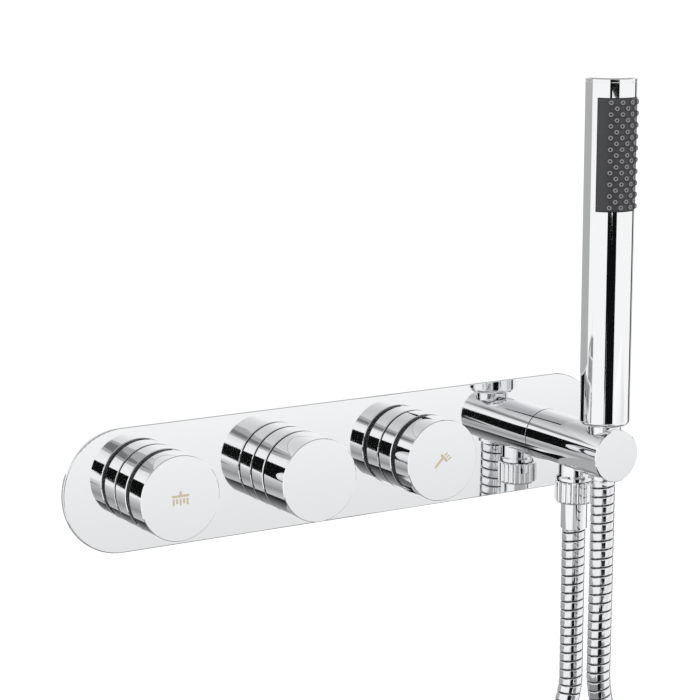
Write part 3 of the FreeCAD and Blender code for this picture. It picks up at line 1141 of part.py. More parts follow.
def make_spray_face():
    """A soft curved pad in the tube's window with 19 rows of 4 and 3 bored nozzles by turns."""
    radius = number("Sizes.handset_dia / 2 + Sizes.face_proud")
    inner = number("Sizes.handset_dia / 2 - Sizes.handset_wall - Sizes.face_thick + 1.6")
    half = number("Sizes.face_half_angle") - math.degrees(number("Sizes.face_seat_gap") / radius)
    low = number("Sizes.face_bottom + Sizes.face_seat_gap")
    tall = number("Sizes.face_top - Sizes.face_bottom - 2 * Sizes.face_seat_gap")
    outer_arc = Part.Arc(arc_point(radius, -half), arc_point(radius, 0), arc_point(radius, half)).toShape()
    inner_arc = Part.Arc(arc_point(inner, -half), arc_point(inner, 0), arc_point(inner, half)).toShape()
    sides = [Part.makeLine(arc_point(inner, side), arc_point(radius, side)) for side in (-half, half)]
    section = Part.Face(Part.Wire(Part.__sortEdges__([outer_arc, inner_arc] + sides)))
    pad = section.extrude(Vector(0, 0, tall))
    base, tip = number("Sizes.nozzle_base_dia") / 2, number("Sizes.nozzle_tip_dia") / 2
    height, hole = number("Sizes.nozzle_height"), number("Sizes.nozzle_hole_dia") / 2
    rows = int(number("Sizes.nozzle_rows"))
    pitch, step = number("Sizes.nozzle_pitch"), number("Sizes.nozzle_step")
    bury = 0.6
    cones, bores = [], []
    for row in range(rows):
        level = tall / 2 + (row - (rows - 1) / 2) * pitch
        count = 4 if row % 2 == 0 else 3
        for column in range(count):
            angle = (column - (count - 1) / 2) * step
            out = arc_point(1, angle)
            foot = out * (radius - bury) + Vector(0, 0, level)
            cones.append(Part.makeCone(base, tip, height + bury, foot, out))
            inside = out * (radius - 1.6) + Vector(0, 0, level)
            bores.append(Part.makeCylinder(hole, height + bury + 1.6, inside, out))
    face = pad.multiFuse(cones).cut(Part.Compound(bores))
    feature = shaped("spray_face", face.Solids[0])
    feature.Placement = Placement(Vector(number("Places.holder_x"), number("Places.rest_y"), low),
                                  Rotation())
    return node(feature)


def make_connector():
    """The hand shower's tail: flange in the tube's foot, water bore and thread for the hose nut."""
    across, station = "Places.holder_x", "Places.rest_y"
    rim, bore = "Sizes.connector_dia / 2", "Sizes.connector_bore / 2"
    length = "Sizes.connector_down + Sizes.handset_foot + 4"
    flange = "Sizes.handset_dia / 2 - Sizes.handset_wall - 0.1"
    shelf = "Sizes.connector_down + Sizes.handset_foot"
    outline = [(bore, "0"), (f"{rim} - 0.8", "0"), (rim, "0.8"), (rim, shelf), (flange, shelf),
               (flange, length),
               (bore, length)]
    node(turned("handset_connector", (across, station, "Sizes.handset_bottom - Sizes.connector_down"),
                outline, "Z"))


# --------------------------------------------------------------------------------------------------
# Free hose. It hangs from both fittings, and its spare length is put away in a coil below.
# --------------------------------------------------------------------------------------------------
# Points between each ferrule and the straight run into the coil, as offsets from the ferrule's end.
HOSE_DOWN_POINTS = [(0, 0, -123.6)]
HOSE_UP_POINTS = [(0, 0, -30), (-2.2, -2.6, -85), (-0.6, 0.4, -161)]
COIL_TURNS = 1.5


def shifted(offsets, start):
    """Points at their offsets from a start point."""
    return [start + Vector(*offset) for offset in offsets]


def tube_path(points, label):
    """Straight runs joined by tangent arcs, each as large as its two runs allow."""
    edges, here, radii = [], points[0], []
    for before, corner, after in zip(points, points[1:], points[2:]):
        into, out = (corner - before), (after - corner)
        reach = 0.45 * min(into.Length, out.Length)
        half_turn = into.getAngle(out) / 2
        radii.append(reach / math.tan(half_turn))
        into.normalize()
        out.normalize()
        start, end = corner - into * reach, corner + out * reach
        inward = out - into
        inward.normalize()
        sag = radii[-1] * (1 / math.cos(half_turn) - 1)
        edges.append(Part.LineSegment(here, start).toShape())
        edges.append(Part.Arc(start, corner + inward * sag, end).toShape())
        here = end
    edges.append(Part.LineSegment(here, points[-1]).toShape())
    path = Part.Wire(edges)
    print(f"{label}: length {path.Length:.0f} mm, bend radii", [round(radius) for radius in radii])
    return path


def stations_along(path, distances):
    """Point and direction at each distance along a path."""
    found, passed, edges = [], 0.0, list(path.Edges)
    for distance in distances:
        while distance - passed > edges[0].Length + 1e-9 and len(edges) > 1:
            passed += edges[0].Length
            edges.pop(0)
        at = edges[0].getParameterByLength(min(distance - passed, edges[0].Length))
        found.append((edges[0].valueAt(at), edges[0].tangentAt(at)))
    return found


def ring_at(spot, direction, radius, across):
    """A circle square to the path whose own X axis keeps to one side."""
    side = across - direction * across.dot(direction)
    side.normalize()
    ring = Part.makeCircle(radius)
    ring.Placement = Placement(spot, Rotation(side, direction.cross(side), direction, "ZXY"))
    return Part.Wire([ring])


def ribbed_solid(path, radius, depth, pitch, across):
    """Ribs as a ruled loft through four circles each, with plain ends one diameter long."""
    plain = 2 * radius
    count = int((path.Length - 2 * plain) / pitch)
    start = (path.Length - count * pitch) / 2
    marks = [(0.0, radius), (start - 0.05 * pitch, radius)]
    for rib in range(count):
        for part, level in ((0.08, radius - depth), (0.32, radius), (0.68, radius), (0.92, radius - depth)):
            marks.append((start + (rib + part) * pitch, level))
    marks += [(start + (count + 0.05) * pitch, radius), (path.Length, radius)]
    places_found = stations_along(path, [distance for distance, _ in marks])
    rings = [ring_at(*found, level, across) for found, (_, level) in zip(places_found, marks)]
    return Part.makeLoft(rings, True, True), count


def plain_solid(path, radius, across):
    spot, direction = stations_along(path, [0.0])[0]
    return path.makePipeShell([ring_at(spot, direction, radius, across)], True, False)


def biarc(start, leaving, end, arriving):
    """Two tangent arcs between two points with given directions."""
    chord, both = end - start, leaving + arriving
    short = 2 * (1 - leaving.dot(arriving))
    along = chord.dot(both)
    reach = (-along + math.sqrt(along * along + short * chord.dot(chord))) / short
    middle = (start + end + (leaving - arriving) * reach) * 0.5
    return [tangent_arc(start, leaving, middle), tangent_arc(end, arriving * -1, middle, True)]


def tangent_arc(start, direction, end, reverse=False):
    """The arc that leaves a point in a direction and ends at another point."""
    chord = end - start
    side = chord - direction * chord.dot(direction)
    side.normalize()
    radius = chord.dot(chord) / (2 * chord.dot(side))
    centre = start + side * radius
    middle = (start - centre) + (end - centre)
    middle.normalize()
    points = [start, centre + middle * radius, end]
    return Part.Arc(*(reversed(points) if reverse else points)).toShape()


def coil_station(turn):
    """Point and direction on the coil after a number of turns, down from its left side."""
    radius, pitch = number("Sizes.coil_dia") / 2, number("Sizes.coil_pitch")
    angle = math.pi + turn * 2 * math.pi
    start_y = number("Places.outlet_y - Sizes.coil_start_back")
    spot = Vector(number("Places.holder_x") + radius * math.cos(angle), start_y - pitch * turn,
                  number("Sizes.coil_level") + radius * math.sin(angle))
    direction = Vector(-radius * math.sin(angle), -pitch / (2 * math.pi), radius * math.cos(angle))
    direction.normalize()
    return spot, direction


def hose_piece(label, outer, path, across):
    """Cut the bore, compare the volume with section times length, and keep the piece."""
    inner = plain_solid(path, number("Sizes.hose_bore") / 2, across)
    solid = outer.cut(inner)
    section = math.pi * (number("Sizes.hose_dia") ** 2 - number("Sizes.hose_bore") ** 2) / 4
    print(f"{label}: volume {solid.Volume / (section * path.Length):.3f} of a plain tube's")
    node(shaped(label, solid.Solids[0]))


def make_hose():
    radius, depth, pitch = (number(f"Sizes.{name}") for name in ("hose_dia", "rib_depth", "rib_pitch"))
    radius = radius / 2
    across = Vector(0, 1, 0)
    lead = number("Sizes.coil_lead")
    first, down = coil_station(0)
    last, up = coil_station(COIL_TURNS)
    lower_end = Vector(number("Places.holder_x"), number("Places.outlet_y"),
                       number("Places.lower_ferrule_end"))
    upper_end = Vector(number("Places.holder_x"), number("Places.rest_y"), number("Places.hose_up_start"))
    strands = {
        "hose_down": [lower_end] + shifted(HOSE_DOWN_POINTS, lower_end) + [first - down * lead, first],
        "hose_up": [upper_end] + shifted(HOSE_UP_POINTS, upper_end) + [last + up * lead, last],
    }
    for label, points in strands.items():
        path = tube_path(points, label)
        outer, ribs = ribbed_solid(path, radius, depth, pitch, across)
        print(f"{label}: {ribs} ribs")
        hose_piece(label, outer, path, across)
    turns = [coil_station(quarter / 4) for quarter in range(int(COIL_TURNS * 4) + 1)]
    arcs = []
    for (start, leaving), (end, arriving) in zip(turns, turns[1:]):
        arcs += biarc(start, leaving, end, arriving)
    path = Part.Wire(arcs)
    print(f"hose_coil: length {path.Length:.0f} mm, least gap {coil_gap():.2f} mm")
    hose_piece("hose_coil", plain_solid(path, radius, across), path, across)


def coil_gap():
    """Least gap between the coil's turns, measured on points of its centre line."""
    spots = [coil_station(step / 72)[0] for step in range(int(COIL_TURNS * 72) + 1)]
    least = min((a - b).Length for i, a in enumerate(spots) for b in spots[i + 24:])
    return least - number("Sizes.hose_dia")


def make_tie():
    """A flat strap round the coil's two passes at its lowest place."""
    low, high = coil_station(0.25)[0], coil_station(1.25)[0]
    half = (low - high).Length / 2
    width, thick = number("Sizes.tie_width"), number("Sizes.tie_thick")
    inner = number("Sizes.hose_dia") / 2 + number("Sizes.tie_gap")
    loops = []
    for radius in (inner, inner + thick):
        top = [Vector(0, -half, radius), Vector(0, half, radius)]
        foot = [Vector(0, half, -radius), Vector(0, -half, -radius)]
        edges = [Part.LineSegment(*top), Part.Arc(top[1], Vector(0, half + radius, 0), foot[0]),
                 Part.LineSegment(*foot), Part.Arc(foot[1], Vector(0, -half - radius, 0), top[0])]
        loops.append(Part.Face(Part.Wire([edge.toShape() for edge in edges])).extrude(Vector(width, 0, 0)))
    tie = shaped("hose_tie", loops[1].cut(loops[0]))
    middle = (low + high) * 0.5
    tie.Placement = Placement(middle - Vector(width / 2, 0, 0), Rotation())
    node(tie)


def build_model():
    make_plate()
    make_seal()
    for side, across in STATIONS.items():
        kind = "temp" if side == "temp" else "flow"
        make_collar(side, across)
        make_glide_ring(side, across, f"Places.{kind}_knob_back")
        make_knob(side, across, f"Places.{kind}_knob_front", f"Sizes.{kind}_knob_length")
        spot = (across, f"Places.{kind}_knob_front + Sizes.grub_from_face",
                "-Sizes.hub_dia / 2 + 0.2")
        make_grub(f"knob_grub_screw_{side}", spot)
    make_sleeves()
    for side in FLOW_SIDES:
        make_flow_housing(side, STATIONS[side])
        make_flow_spindle(side, STATIONS[side])
        make_discs(side, STATIONS[side])
        make_flow_seals(side, STATIONS[side])
    make_temp_housing()
    make_temp_spindle()
    make_drive_nut()
    temp_spring("overload_spring", "Sizes.cup_floor + Sizes.spring_seat_gap",
                "Sizes.cup_dia - Sizes.overload_wire - 1", "Sizes.overload_wire",
                "Sizes.element_head_front - Sizes.cup_floor - 2 * Sizes.spring_seat_gap",
                "Sizes.overload_turns")
    make_element()
    make_shuttle()
    back = "Sizes.web_front + Sizes.web_thick"
    temp_spring("return_spring", f"{back} + Sizes.spring_seat_gap", "Sizes.return_coil_dia",
                "Sizes.spring_wire",
                f"Sizes.temp_barrel_end - Sizes.rear_lip - ({back}) - 2 * Sizes.spring_seat_gap",
                "Sizes.return_turns")
    make_temp_rings()
    make_stop_ring()
    make_valve_body()
    make_bracket()
    make_bracket_screws()
    cages = []
    for inlet, sign in (("hot", "-"), ("cold", "+")):
        foot = f"Sizes.temp_x {sign} Sizes.inlet_half_pitch"
        cages.append(make_check_cage(inlet, foot))
        make_check_poppet(inlet, foot)
    node(grouped("check_cages", cages))
    make_holder()
    make_holder_fittings()
    make_lower_fittings()
    make_upper_fittings()
    make_handset()
    make_spray_face()
    make_connector()
    make_hose()
    make_tie()


def check_model():
    """Stop on any object that failed, and on any sub-part without a valid solid."""
    doc.recompute()
    for item in doc.Objects:
        assert "Invalid" not in item.State and "Error" not in item.State, f"{item.Label}: {item.State}"
    for piece in NODES:
        shape = piece.Shape
        assert not shape.isNull() and shape.isValid() and shape.Solids, f"{piece.Label}: no valid solid"


def write_parts():
    os.makedirs("parts", exist_ok=True)
    for piece in NODES:
        piece.Shape.exportStep(f"parts/{piece.Label}.step")
    print(len(NODES), "nodes written")


build_model()
check_model()
write_parts()
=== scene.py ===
import math

import bmesh
import bpy
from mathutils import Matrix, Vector


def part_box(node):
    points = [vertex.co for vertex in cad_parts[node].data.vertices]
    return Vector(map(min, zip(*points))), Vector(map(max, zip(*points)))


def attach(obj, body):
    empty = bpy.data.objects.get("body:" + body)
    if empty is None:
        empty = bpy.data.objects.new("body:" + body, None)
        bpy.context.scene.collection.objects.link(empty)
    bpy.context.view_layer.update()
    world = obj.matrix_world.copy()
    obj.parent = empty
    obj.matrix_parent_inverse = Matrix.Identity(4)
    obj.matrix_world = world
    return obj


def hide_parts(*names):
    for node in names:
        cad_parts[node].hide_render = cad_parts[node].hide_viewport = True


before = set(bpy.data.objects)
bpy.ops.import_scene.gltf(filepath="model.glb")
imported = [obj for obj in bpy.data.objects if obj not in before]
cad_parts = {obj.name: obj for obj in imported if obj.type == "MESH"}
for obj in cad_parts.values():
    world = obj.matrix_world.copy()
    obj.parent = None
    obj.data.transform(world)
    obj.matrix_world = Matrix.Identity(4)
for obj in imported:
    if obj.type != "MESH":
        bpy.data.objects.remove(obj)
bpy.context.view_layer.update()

# %% [markdown]
# # A thermostatic shower valve with a hand shower
# The real object is a wall set: a long chrome plate with rounded ends carries three round knobs and
# a holder with an outlet, and a hand shower stands in the holder on its ribbed hose. Nearly
# everything is bright chrome, so the picture is made by what the chrome reflects. The order here is
# camera, hose, small pieces, finishes, room and flags.

# %% [markdown]
# ## The camera
# The plate's outline, the three knobs' centres and the upright hand shower give enough points to
# solve where the photograph was taken from. It is a long lens, more than twice a normal one, so the
# plate's far end is hardly smaller than its near end. The camera is turned 31.5 degrees to the
# right and looks 10.6 degrees down.

# %% Camera
CAMERA_SPOT = Vector((-0.7039, -1.1549, 0.3204))
CAMERA_YAW = math.radians(31.477)
CAMERA_PITCH = math.radians(-10.629)
LENS, SENSOR_WIDTH = 117.3, 36.0
NEAREST_SEEN = 0.05

camera_data = bpy.data.cameras.new("Camera")
camera_data.lens = LENS
camera_data.sensor_width = SENSOR_WIDTH
camera_data.clip_start = NEAREST_SEEN
camera = bpy.data.objects.new("Camera", camera_data)
bpy.context.scene.collection.objects.link(camera)
looking = Vector((math.sin(CAMERA_YAW) * math.cos(CAMERA_PITCH),
                  math.cos(CAMERA_YAW) * math.cos(CAMERA_PITCH),
                  math.sin(CAMERA_PITCH)))
camera.location = CAMERA_SPOT
camera.rotation_euler = looking.to_track_quat("-Z", "Y").to_euler()
bpy.context.scene.camera = camera
print("camera looks along", [round(value, 3) for value in looking])

# %% [markdown]
# ## The hose's line
# The hose leaves the outlet straight down, hangs, and comes back up into the hand shower's foot.
# Its real length is 1.5 m, and what the photograph doesn't show is put away in one and a half turns
# below the view. The line could be drawn by hand, but then its length would be a guess. Here its
# points are worked out, and a smooth NURBS curve runs along them. Its order of 3 makes it turn
# gently near each point and never kink, as a metal hose does. The order is set after the points are
# added, because a new spline doesn't have enough points for it.

# %% Hose line
MM = 0.001
COIL_CENTRE = Vector((0.148, -0.0375, -0.402))
COIL_RADIUS = 0.080
COIL_STEP_BACK = 0.0165
COIL_TURNS = 1.5
POINTS_PER_TURN = 14
STEPS_PER_POINT = 40

falling_run = [(0.148, -0.035, -0.0564), (0.148, -0.035, -0.130), (0.148, -0.035, -0.180),
               (0.068, -0.03383, -0.29006)]
rising_run = [(0.228, -0.06592, -0.29006), (0.1474, -0.0636, -0.1798), (0.1458, -0.0666, -0.1038),
              (0.148, -0.064, -0.0488), (0.148, -0.064, -0.0188)]
coil_points = []
for station in range(int(COIL_TURNS * POINTS_PER_TURN) + 1):
    turn = station / POINTS_PER_TURN
    angle = math.pi + turn * 2 * math.pi
    coil_points.append((COIL_CENTRE.x + COIL_RADIUS * math.cos(angle),
                        COIL_CENTRE.y - COIL_STEP_BACK * turn,
                        COIL_CENTRE.z + COIL_RADIUS * math.sin(angle)))
route = falling_run + coil_points + rising_run

curve = bpy.data.curves.new("hose_line", "CURVE")
curve.dimensions = "3D"
curve.resolution_u = STEPS_PER_POINT
spline = curve.splines.new("NURBS")
spline.points.add(len(route) - 1)
for point, spot in zip(spline.points, route):
    point.co = (*spot, 1.0)
spline.order_u = 3
spline.use_endpoint_u = True
line_object = bpy.data.objects.new("hose_line", curve)
line_mesh = bpy.data.meshes.new_from_object(line_object)
hose_line = [vertex.co.copy() for vertex in line_mesh.vertices]
bpy.data.objects.remove(line_object)
bpy.data.meshes.remove(line_mesh)

hose_marks = [0.0]
for start, end in zip(hose_line, hose_line[1:]):
    hose_marks.append(hose_marks[-1] + (end - start).length)
hose_length = hose_marks[-1]
print(f"hose line: {len(hose_line)} points, {hose_length / MM:.0f} mm")

# %% [markdown]
# ## Directions along the hose
# To set points round the line, each place on it needs one direction sideways and one upwards. They
# could be found afresh everywhere, but then they would jump where the line turns. Here the sideways
# direction is carried along from step to step and only made square to the line again, so the hose
# isn't twisted anywhere.

# %% Directions along the hose
FRAME_STEP = 0.25 * MM
JUST_BEFORE_THE_END = 0.999999


def along_line(line, marks, distance):
    """The point and direction at a distance along a measured line."""
    low, high = 0, len(marks) - 1
    while high - low > 1:
        middle = (low + high) // 2
        if marks[middle] <= distance:
            low = middle
        else:
            high = middle
    share = (distance - marks[low]) / (marks[high] - marks[low])
    direction = (line[high] - line[low]).normalized()
    return line[low].lerp(line[high], share), direction


def frames_along_hose(count):
    """Point, sideways and upward directions at even steps, carried on without a twist."""
    sideways = Vector((1, 0, 0))
    frames = []
    for number in range(count + 1):
        distance = min(number * hose_length / count, hose_length * JUST_BEFORE_THE_END)
        spot, direction = along_line(hose_line, hose_marks, distance)
        sideways = (sideways - direction * sideways.dot(direction)).normalized()
        frames.append((spot, sideways.copy(), direction.cross(sideways)))
    return frames


frame_count = int(hose_length / FRAME_STEP)
frame_step = hose_length / frame_count
hose_frames = frames_along_hose(frame_count)
print(f"directions every {frame_step / MM:.3f} mm of the hose")

# %% [markdown]
# ## Making a mesh piece
# Everything in this lesson is a list of points and a list of faces between them. One helper turns
# such lists into an object: it joins points that share a spot, turns all faces outwards and shades
# the piece smooth.

# %% Mesh helper
JOINING_DISTANCE = 0.0005 * MM


def new_mesh_object(name, vertices, faces, gap_faces=()):
    """A smooth mesh object in the scene. The faces in gap_faces take its second material."""
    mesh = bpy.data.meshes.new(name)
    mesh.from_pydata([tuple(vertex) for vertex in vertices], [], faces)
    for number in gap_faces:
        mesh.polygons[number].material_index = 1
    work = bmesh.new()
    work.from_mesh(mesh)
    bmesh.ops.remove_doubles(work, verts=work.verts, dist=JOINING_DISTANCE)
    bmesh.ops.recalc_face_normals(work, faces=work.faces)
    work.to_mesh(mesh)
    work.free()
    mesh.shade_smooth()
    made = bpy.data.objects.new(name, mesh)
    bpy.context.scene.collection.objects.link(made)
    return made


print("points nearer than", JOINING_DISTANCE / MM, "mm are joined")

# %% [markdown]
# ## The ribbed hose
# The real hose is a narrow chromed strip wound round a rubber tube, each turn hooked into the last,
# so its ribs climb like a screw thread with one turn every 5.65 mm. A displaced surface would need
# very fine faces everywhere. Here points are set round the line instead, at the radius that the
# strip has there, and each one is shifted along the line by its share of a turn. One turn later the
# row meets the next rib, which is what makes it a thread.

# %% Hose winding
HOSE_PITCH = 5.65 * MM
HOSE_SIDES = 36
END_RADIUS = 6.75
# One rib from gap to gap: share of the pitch, radius in mm.
RIB_OUTLINE = [(0.00, 6.75), (0.035, 6.75), (0.06, 7.20), (0.10, 7.42), (0.15, 7.49), (0.20, 7.50),
               (0.80, 7.50), (0.85, 7.49), (0.90, 7.42), (0.94, 7.20), (0.965, 6.75)]
GAP_ROWS = (0, 1, 9, 10)


def hose_points(stations, pitch):
    """Rings of points, each point shifted along the line by its share of a turn."""
    vertices = []
    for turns, radius in stations:
        for side in range(HOSE_SIDES):
            share = side / HOSE_SIDES
            distance = (turns + share) * pitch
            reach = radius if 0 < distance < hose_length else END_RADIUS
            distance = min(max(distance, 0), hose_length)
            number = min(round(distance / frame_step), len(hose_frames) - 1)
            spot, sideways, upward = hose_frames[number]
            angle = share * 2 * math.pi
            outward = sideways * math.cos(angle) + upward * math.sin(angle)
            vertices.append(spot + outward * reach * MM)
    return vertices


def wound_hose(name):
    """The ribbed skin of the hose, wound like a screw thread."""
    ribs = round(hose_length / HOSE_PITCH)
    pitch = hose_length / ribs
    rows = len(RIB_OUTLINE)
    stations = [(rib + share, radius) for rib in range(-1, ribs) for share, radius in RIB_OUTLINE]
    stations.append((ribs, END_RADIUS))
    vertices = hose_points(stations, pitch)
    faces, gap_faces = [], []
    for row in range(len(stations) - 1):
        for side in range(HOSE_SIDES):
            here = row * HOSE_SIDES + side
            beside = here + 1
            if side == HOSE_SIDES - 1:
                beside = (row + rows) * HOSE_SIDES
            if beside + HOSE_SIDES >= len(vertices):
                continue
            if row % rows in GAP_ROWS:
                gap_faces.append(len(faces))
            faces.append((here, beside, beside + HOSE_SIDES, here + HOSE_SIDES))
    print(f"{name}: {ribs} ribs, one every {pitch / MM:.2f} mm, {len(faces)} faces")
    return new_mesh_object(name, vertices, faces, gap_faces)


hose = wound_hose("shower_hose")
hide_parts("hose_down", "hose_coil", "hose_up")
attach(hose, "fixed")

# %% [markdown]
# ## The tie
# A soft rubber band holds the put-away turns together where they are lowest. It could be a bent
# strip with a solidify modifier, but a band is simply a flat section carried round a long loop. So
# it is made as rings: a thin section with rounded edges, set square to the loop.

# %% Tie
TIE_THICK = 1.0 * MM
TIE_STEPS, TIE_CORNERS = 72, 16
# An exponent below 1 squares a circle off: strongly across the band, a little through it.
SQUARED_ACROSS, SQUARED_THROUGH = 0.35, 0.8


def skin_over_closed_rings(name, rings):
    """Join rings of points, all with the same count, into one closed loop."""
    count = len(rings[0])
    vertices = [point for ring in rings for point in ring]
    faces = []
    for row in range(len(rings)):
        here, there = row * count, (row + 1) % len(rings) * count
        for side in range(count):
            after = (side + 1) % count
            faces.append((here + side, here + after, there + after, there + side))
    return new_mesh_object(name, vertices, faces)


def squared(value, exponent):
    """A sine or cosine, pushed outwards to its sign's end."""
    return math.copysign(abs(value) ** exponent, value)


def corners_of(node):
    """The lowest and highest corners of a CAD node, as vectors."""
    low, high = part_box(node)
    return Vector(low), Vector(high)


tie_low, tie_high = corners_of("hose_tie")
tie_middle = (tie_low + tie_high) / 2
half_width, half_depth, half_height = (tie_high - tie_low) / 2
straight_half = half_depth - half_height
tie_rings = []
for step in range(TIE_STEPS):
    angle = step * 2 * math.pi / TIE_STEPS
    outward = Vector((0, math.cos(angle), math.sin(angle)))
    centre = tie_middle + Vector((0, math.copysign(straight_half, outward.y), 0))
    section = []
    for corner in range(TIE_CORNERS):
        lean = corner * 2 * math.pi / TIE_CORNERS
        across = squared(math.cos(lean), SQUARED_ACROSS) * half_width
        deep = squared(math.sin(lean), SQUARED_THROUGH) * TIE_THICK / 2
        reach = half_height - TIE_THICK / 2 + deep
        section.append(centre + outward * reach + Vector((across, 0, 0)))
    tie_rings.append(section)
tie = skin_over_closed_rings("hose_band", tie_rings)
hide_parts("hose_tie")
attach(tie, "fixed")
print("tie box in mm:", [round(value / MM, 2) for value in (*tie_low, *tie_high)])

# %% [markdown]
# ## The black rings at the feet
# Where the three collars and the holder meet the plate there is a narrow gap, and its shade shows
# as a thin black line. A black ring fills each gap to paint that shade. A torus would be round in
# section, and this ring is pressed flat. So a small section is carried round the axis, and the same
# closed rows of points make it.

# %% Foot rings
RING_STEPS = 120
HOLDER_ACROSS, HOLDER_LEVEL = 0.148, -0.002
# Sections as (radius, depth) in mm.
COLLAR_SECTION = [(23.6, -4.0), (24.75, -4.0), (24.85, -4.4), (24.75, -4.8), (23.6, -4.8)]
HOLDER_SECTION = [(15.7, -4.0), (16.3, -4.0), (16.4, -4.25), (16.2, -4.5), (15.7, -4.5)]


# Painted shade: each ring is black only to darken the gap where a collar or the holder meets the
# plate.
def shadow_gap_ring(name, across, level, outline):
    """A ring round an axis that runs into the wall, from its section."""
    rings = []
    for step in range(RING_STEPS):
        angle = step * 2 * math.pi / RING_STEPS
        rings.append([Vector((across + radius * MM * math.cos(angle), depth * MM,
                              level + radius * MM * math.sin(angle))) for radius, depth in outline])
    made = skin_over_closed_rings(name, rings)
    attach(made, "fixed")
    return made


def middle_of(node):
    """The middle of a CAD node's box."""
    low, high = corners_of(node)
    return (low + high) / 2


shadow_gap_rings = [shadow_gap_ring(f"shadow_gap_ring_{name}", middle_of(f"collar_{name}").x, 0.0, COLLAR_SECTION)
              for name in ("left", "temp", "right")]
shadow_gap_rings.append(shadow_gap_ring("shadow_gap_ring_holder", HOLDER_ACROSS, HOLDER_LEVEL, HOLDER_SECTION))
print("foot rings:", [ring.name for ring in shadow_gap_rings])

# %% [markdown]
# ## The spray face's pad
# The hand shower sprays through one soft moulding, a curved pad with rounded borders. It could be
# cut from a tube and bevelled, but the bevel would have to follow a bent edge. Here the pad is a
# flat grid that is bent round the hand shower's axis, with its rows closer together near the
# borders, where each point sinks along a quarter circle.

# %% Spray pad
HANDSET_AXIS = Vector((0.148, -0.064, 0.0))
FACE_RADIUS = 15.8
FACE_HALF_ANGLE = math.radians(68.6)
FACE_BOTTOM, FACE_TOP = 149.3, 217.4
BORDER, BORDER_STEPS = 0.9, 4
PAD_COLUMNS, PAD_ROWS = 60, 72


def on_face(angle, level, height):
    """A point over the curved pad, by its angle, its level and its height in millimetres."""
    reach = (FACE_RADIUS + height) * MM
    return HANDSET_AXIS + Vector((math.sin(angle) * reach, -math.cos(angle) * reach, level * MM))


def rounded_height(along, length):
    """How far the pad's surface drops near a border, as a quarter circle."""
    inside = min(along, length - along)
    if inside >= BORDER:
        return 0.0
    return -BORDER + math.sqrt(BORDER ** 2 - (BORDER - inside) ** 2)


def unevenly(count, length):
    """Distances over a length, closer together near both ends."""
    near = [BORDER * (1 - math.cos(math.pi / 2 * step / BORDER_STEPS))
            for step in range(BORDER_STEPS)]
    spaces = count - 2 * BORDER_STEPS
    inner = [BORDER + (length - 2 * BORDER) * step / spaces for step in range(spaces + 1)]
    return near + inner + [length - distance for distance in reversed(near)]


face_width = 2 * FACE_HALF_ANGLE * FACE_RADIUS
face_height = FACE_TOP - FACE_BOTTOM
across_marks, up_marks = unevenly(PAD_COLUMNS, face_width), unevenly(PAD_ROWS, face_height)
vertices, faces = [], []
for up in up_marks:
    for across in across_marks:
        drop = min(rounded_height(across, face_width), rounded_height(up, face_height))
        vertices.append(on_face(across / FACE_RADIUS - FACE_HALF_ANGLE, FACE_BOTTOM + up, drop))
columns = len(across_marks)
for row in range(len(up_marks) - 1):
    for column in range(columns - 1):
        here = row * columns + column
        faces.append((here, here + 1, here + columns + 1, here + columns))
print(f"spray pad: {face_width:.1f} mm round by {face_height:.1f} mm high, {len(faces)} faces")

# %% [markdown]
# ## Its nozzles
# The pad has 67 hollow nozzles, in 19 rows of four and three by turns. Each one is a small crater
# with a thick pale rim and a dark hole, which a plain cone doesn't show. So each nozzle is an
# outline turned about its own axis, from the hole's floor over the rim to the foot. The foot is
# lowered with the pad's curve, so that no gap shows under it.

# %% Nozzles
NOZZLE_ROWS = 19
NOZZLE_PITCH = 3.49
NOZZLE_STEP = math.radians(24.8)
NOZZLE_SIDES = 20
# From the middle of the hole's floor out to the foot: radius, height above the pad, in mm.
NOZZLE_OUTLINE = [(0.30, -0.5), (0.52, -0.5), (0.56, 0.9), (0.74, 1.16), (1.05, 1.24), (1.32, 1.12),
                  (1.46, 0.84), (1.60, 0.40), (1.90, 0.08), (2.20, -0.05)]
FOOT_HEIGHT = 0.2


def sag(aside, height):
    """How far the pad has curved away under the foot of a nozzle, aside from its middle."""
    if height >= FOOT_HEIGHT:
        return 0.0
    return FACE_RADIUS - math.sqrt(FACE_RADIUS ** 2 - aside ** 2)


def add_nozzle(angle, level):
    """One nozzle, added to the pad's points and faces."""
    middle = on_face(angle, level, 0.0)
    outward = Vector((math.sin(angle), -math.cos(angle), 0.0))
    sideways = Vector((math.cos(angle), math.sin(angle), 0.0))
    first = len(vertices)
    for radius, height in NOZZLE_OUTLINE:
        for side in range(NOZZLE_SIDES):
            turn = side * 2 * math.pi / NOZZLE_SIDES
            spread = sideways * math.cos(turn) + Vector((0, 0, 1)) * math.sin(turn)
            rise = height - sag(radius * math.cos(turn), height)
            vertices.append(middle + (outward * rise + spread * radius) * MM)
    faces.append(tuple(range(first, first + NOZZLE_SIDES)))
    for ring in range(len(NOZZLE_OUTLINE) - 1):
        for side in range(NOZZLE_SIDES):
            here = first + ring * NOZZLE_SIDES + side
            beside = first + ring * NOZZLE_SIDES + (side + 1) % NOZZLE_SIDES
            faces.append((here, beside, beside + NOZZLE_SIDES, here + NOZZLE_SIDES))


nozzles = 0
for row in range(NOZZLE_ROWS):
    level = (FACE_BOTTOM + FACE_TOP) / 2 + (row - (NOZZLE_ROWS - 1) / 2) * NOZZLE_PITCH
    count = 4 if row % 2 == 0 else 3
    for place in range(count):
        add_nozzle((place - (count - 1) / 2) * NOZZLE_STEP, level)
        nozzles += 1
spray_pad = new_mesh_object("spray_pad", vertices, faces)
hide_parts("spray_face")
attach(spray_pad, "handset")
print(nozzles, "nozzles, and now", len(faces), "faces")

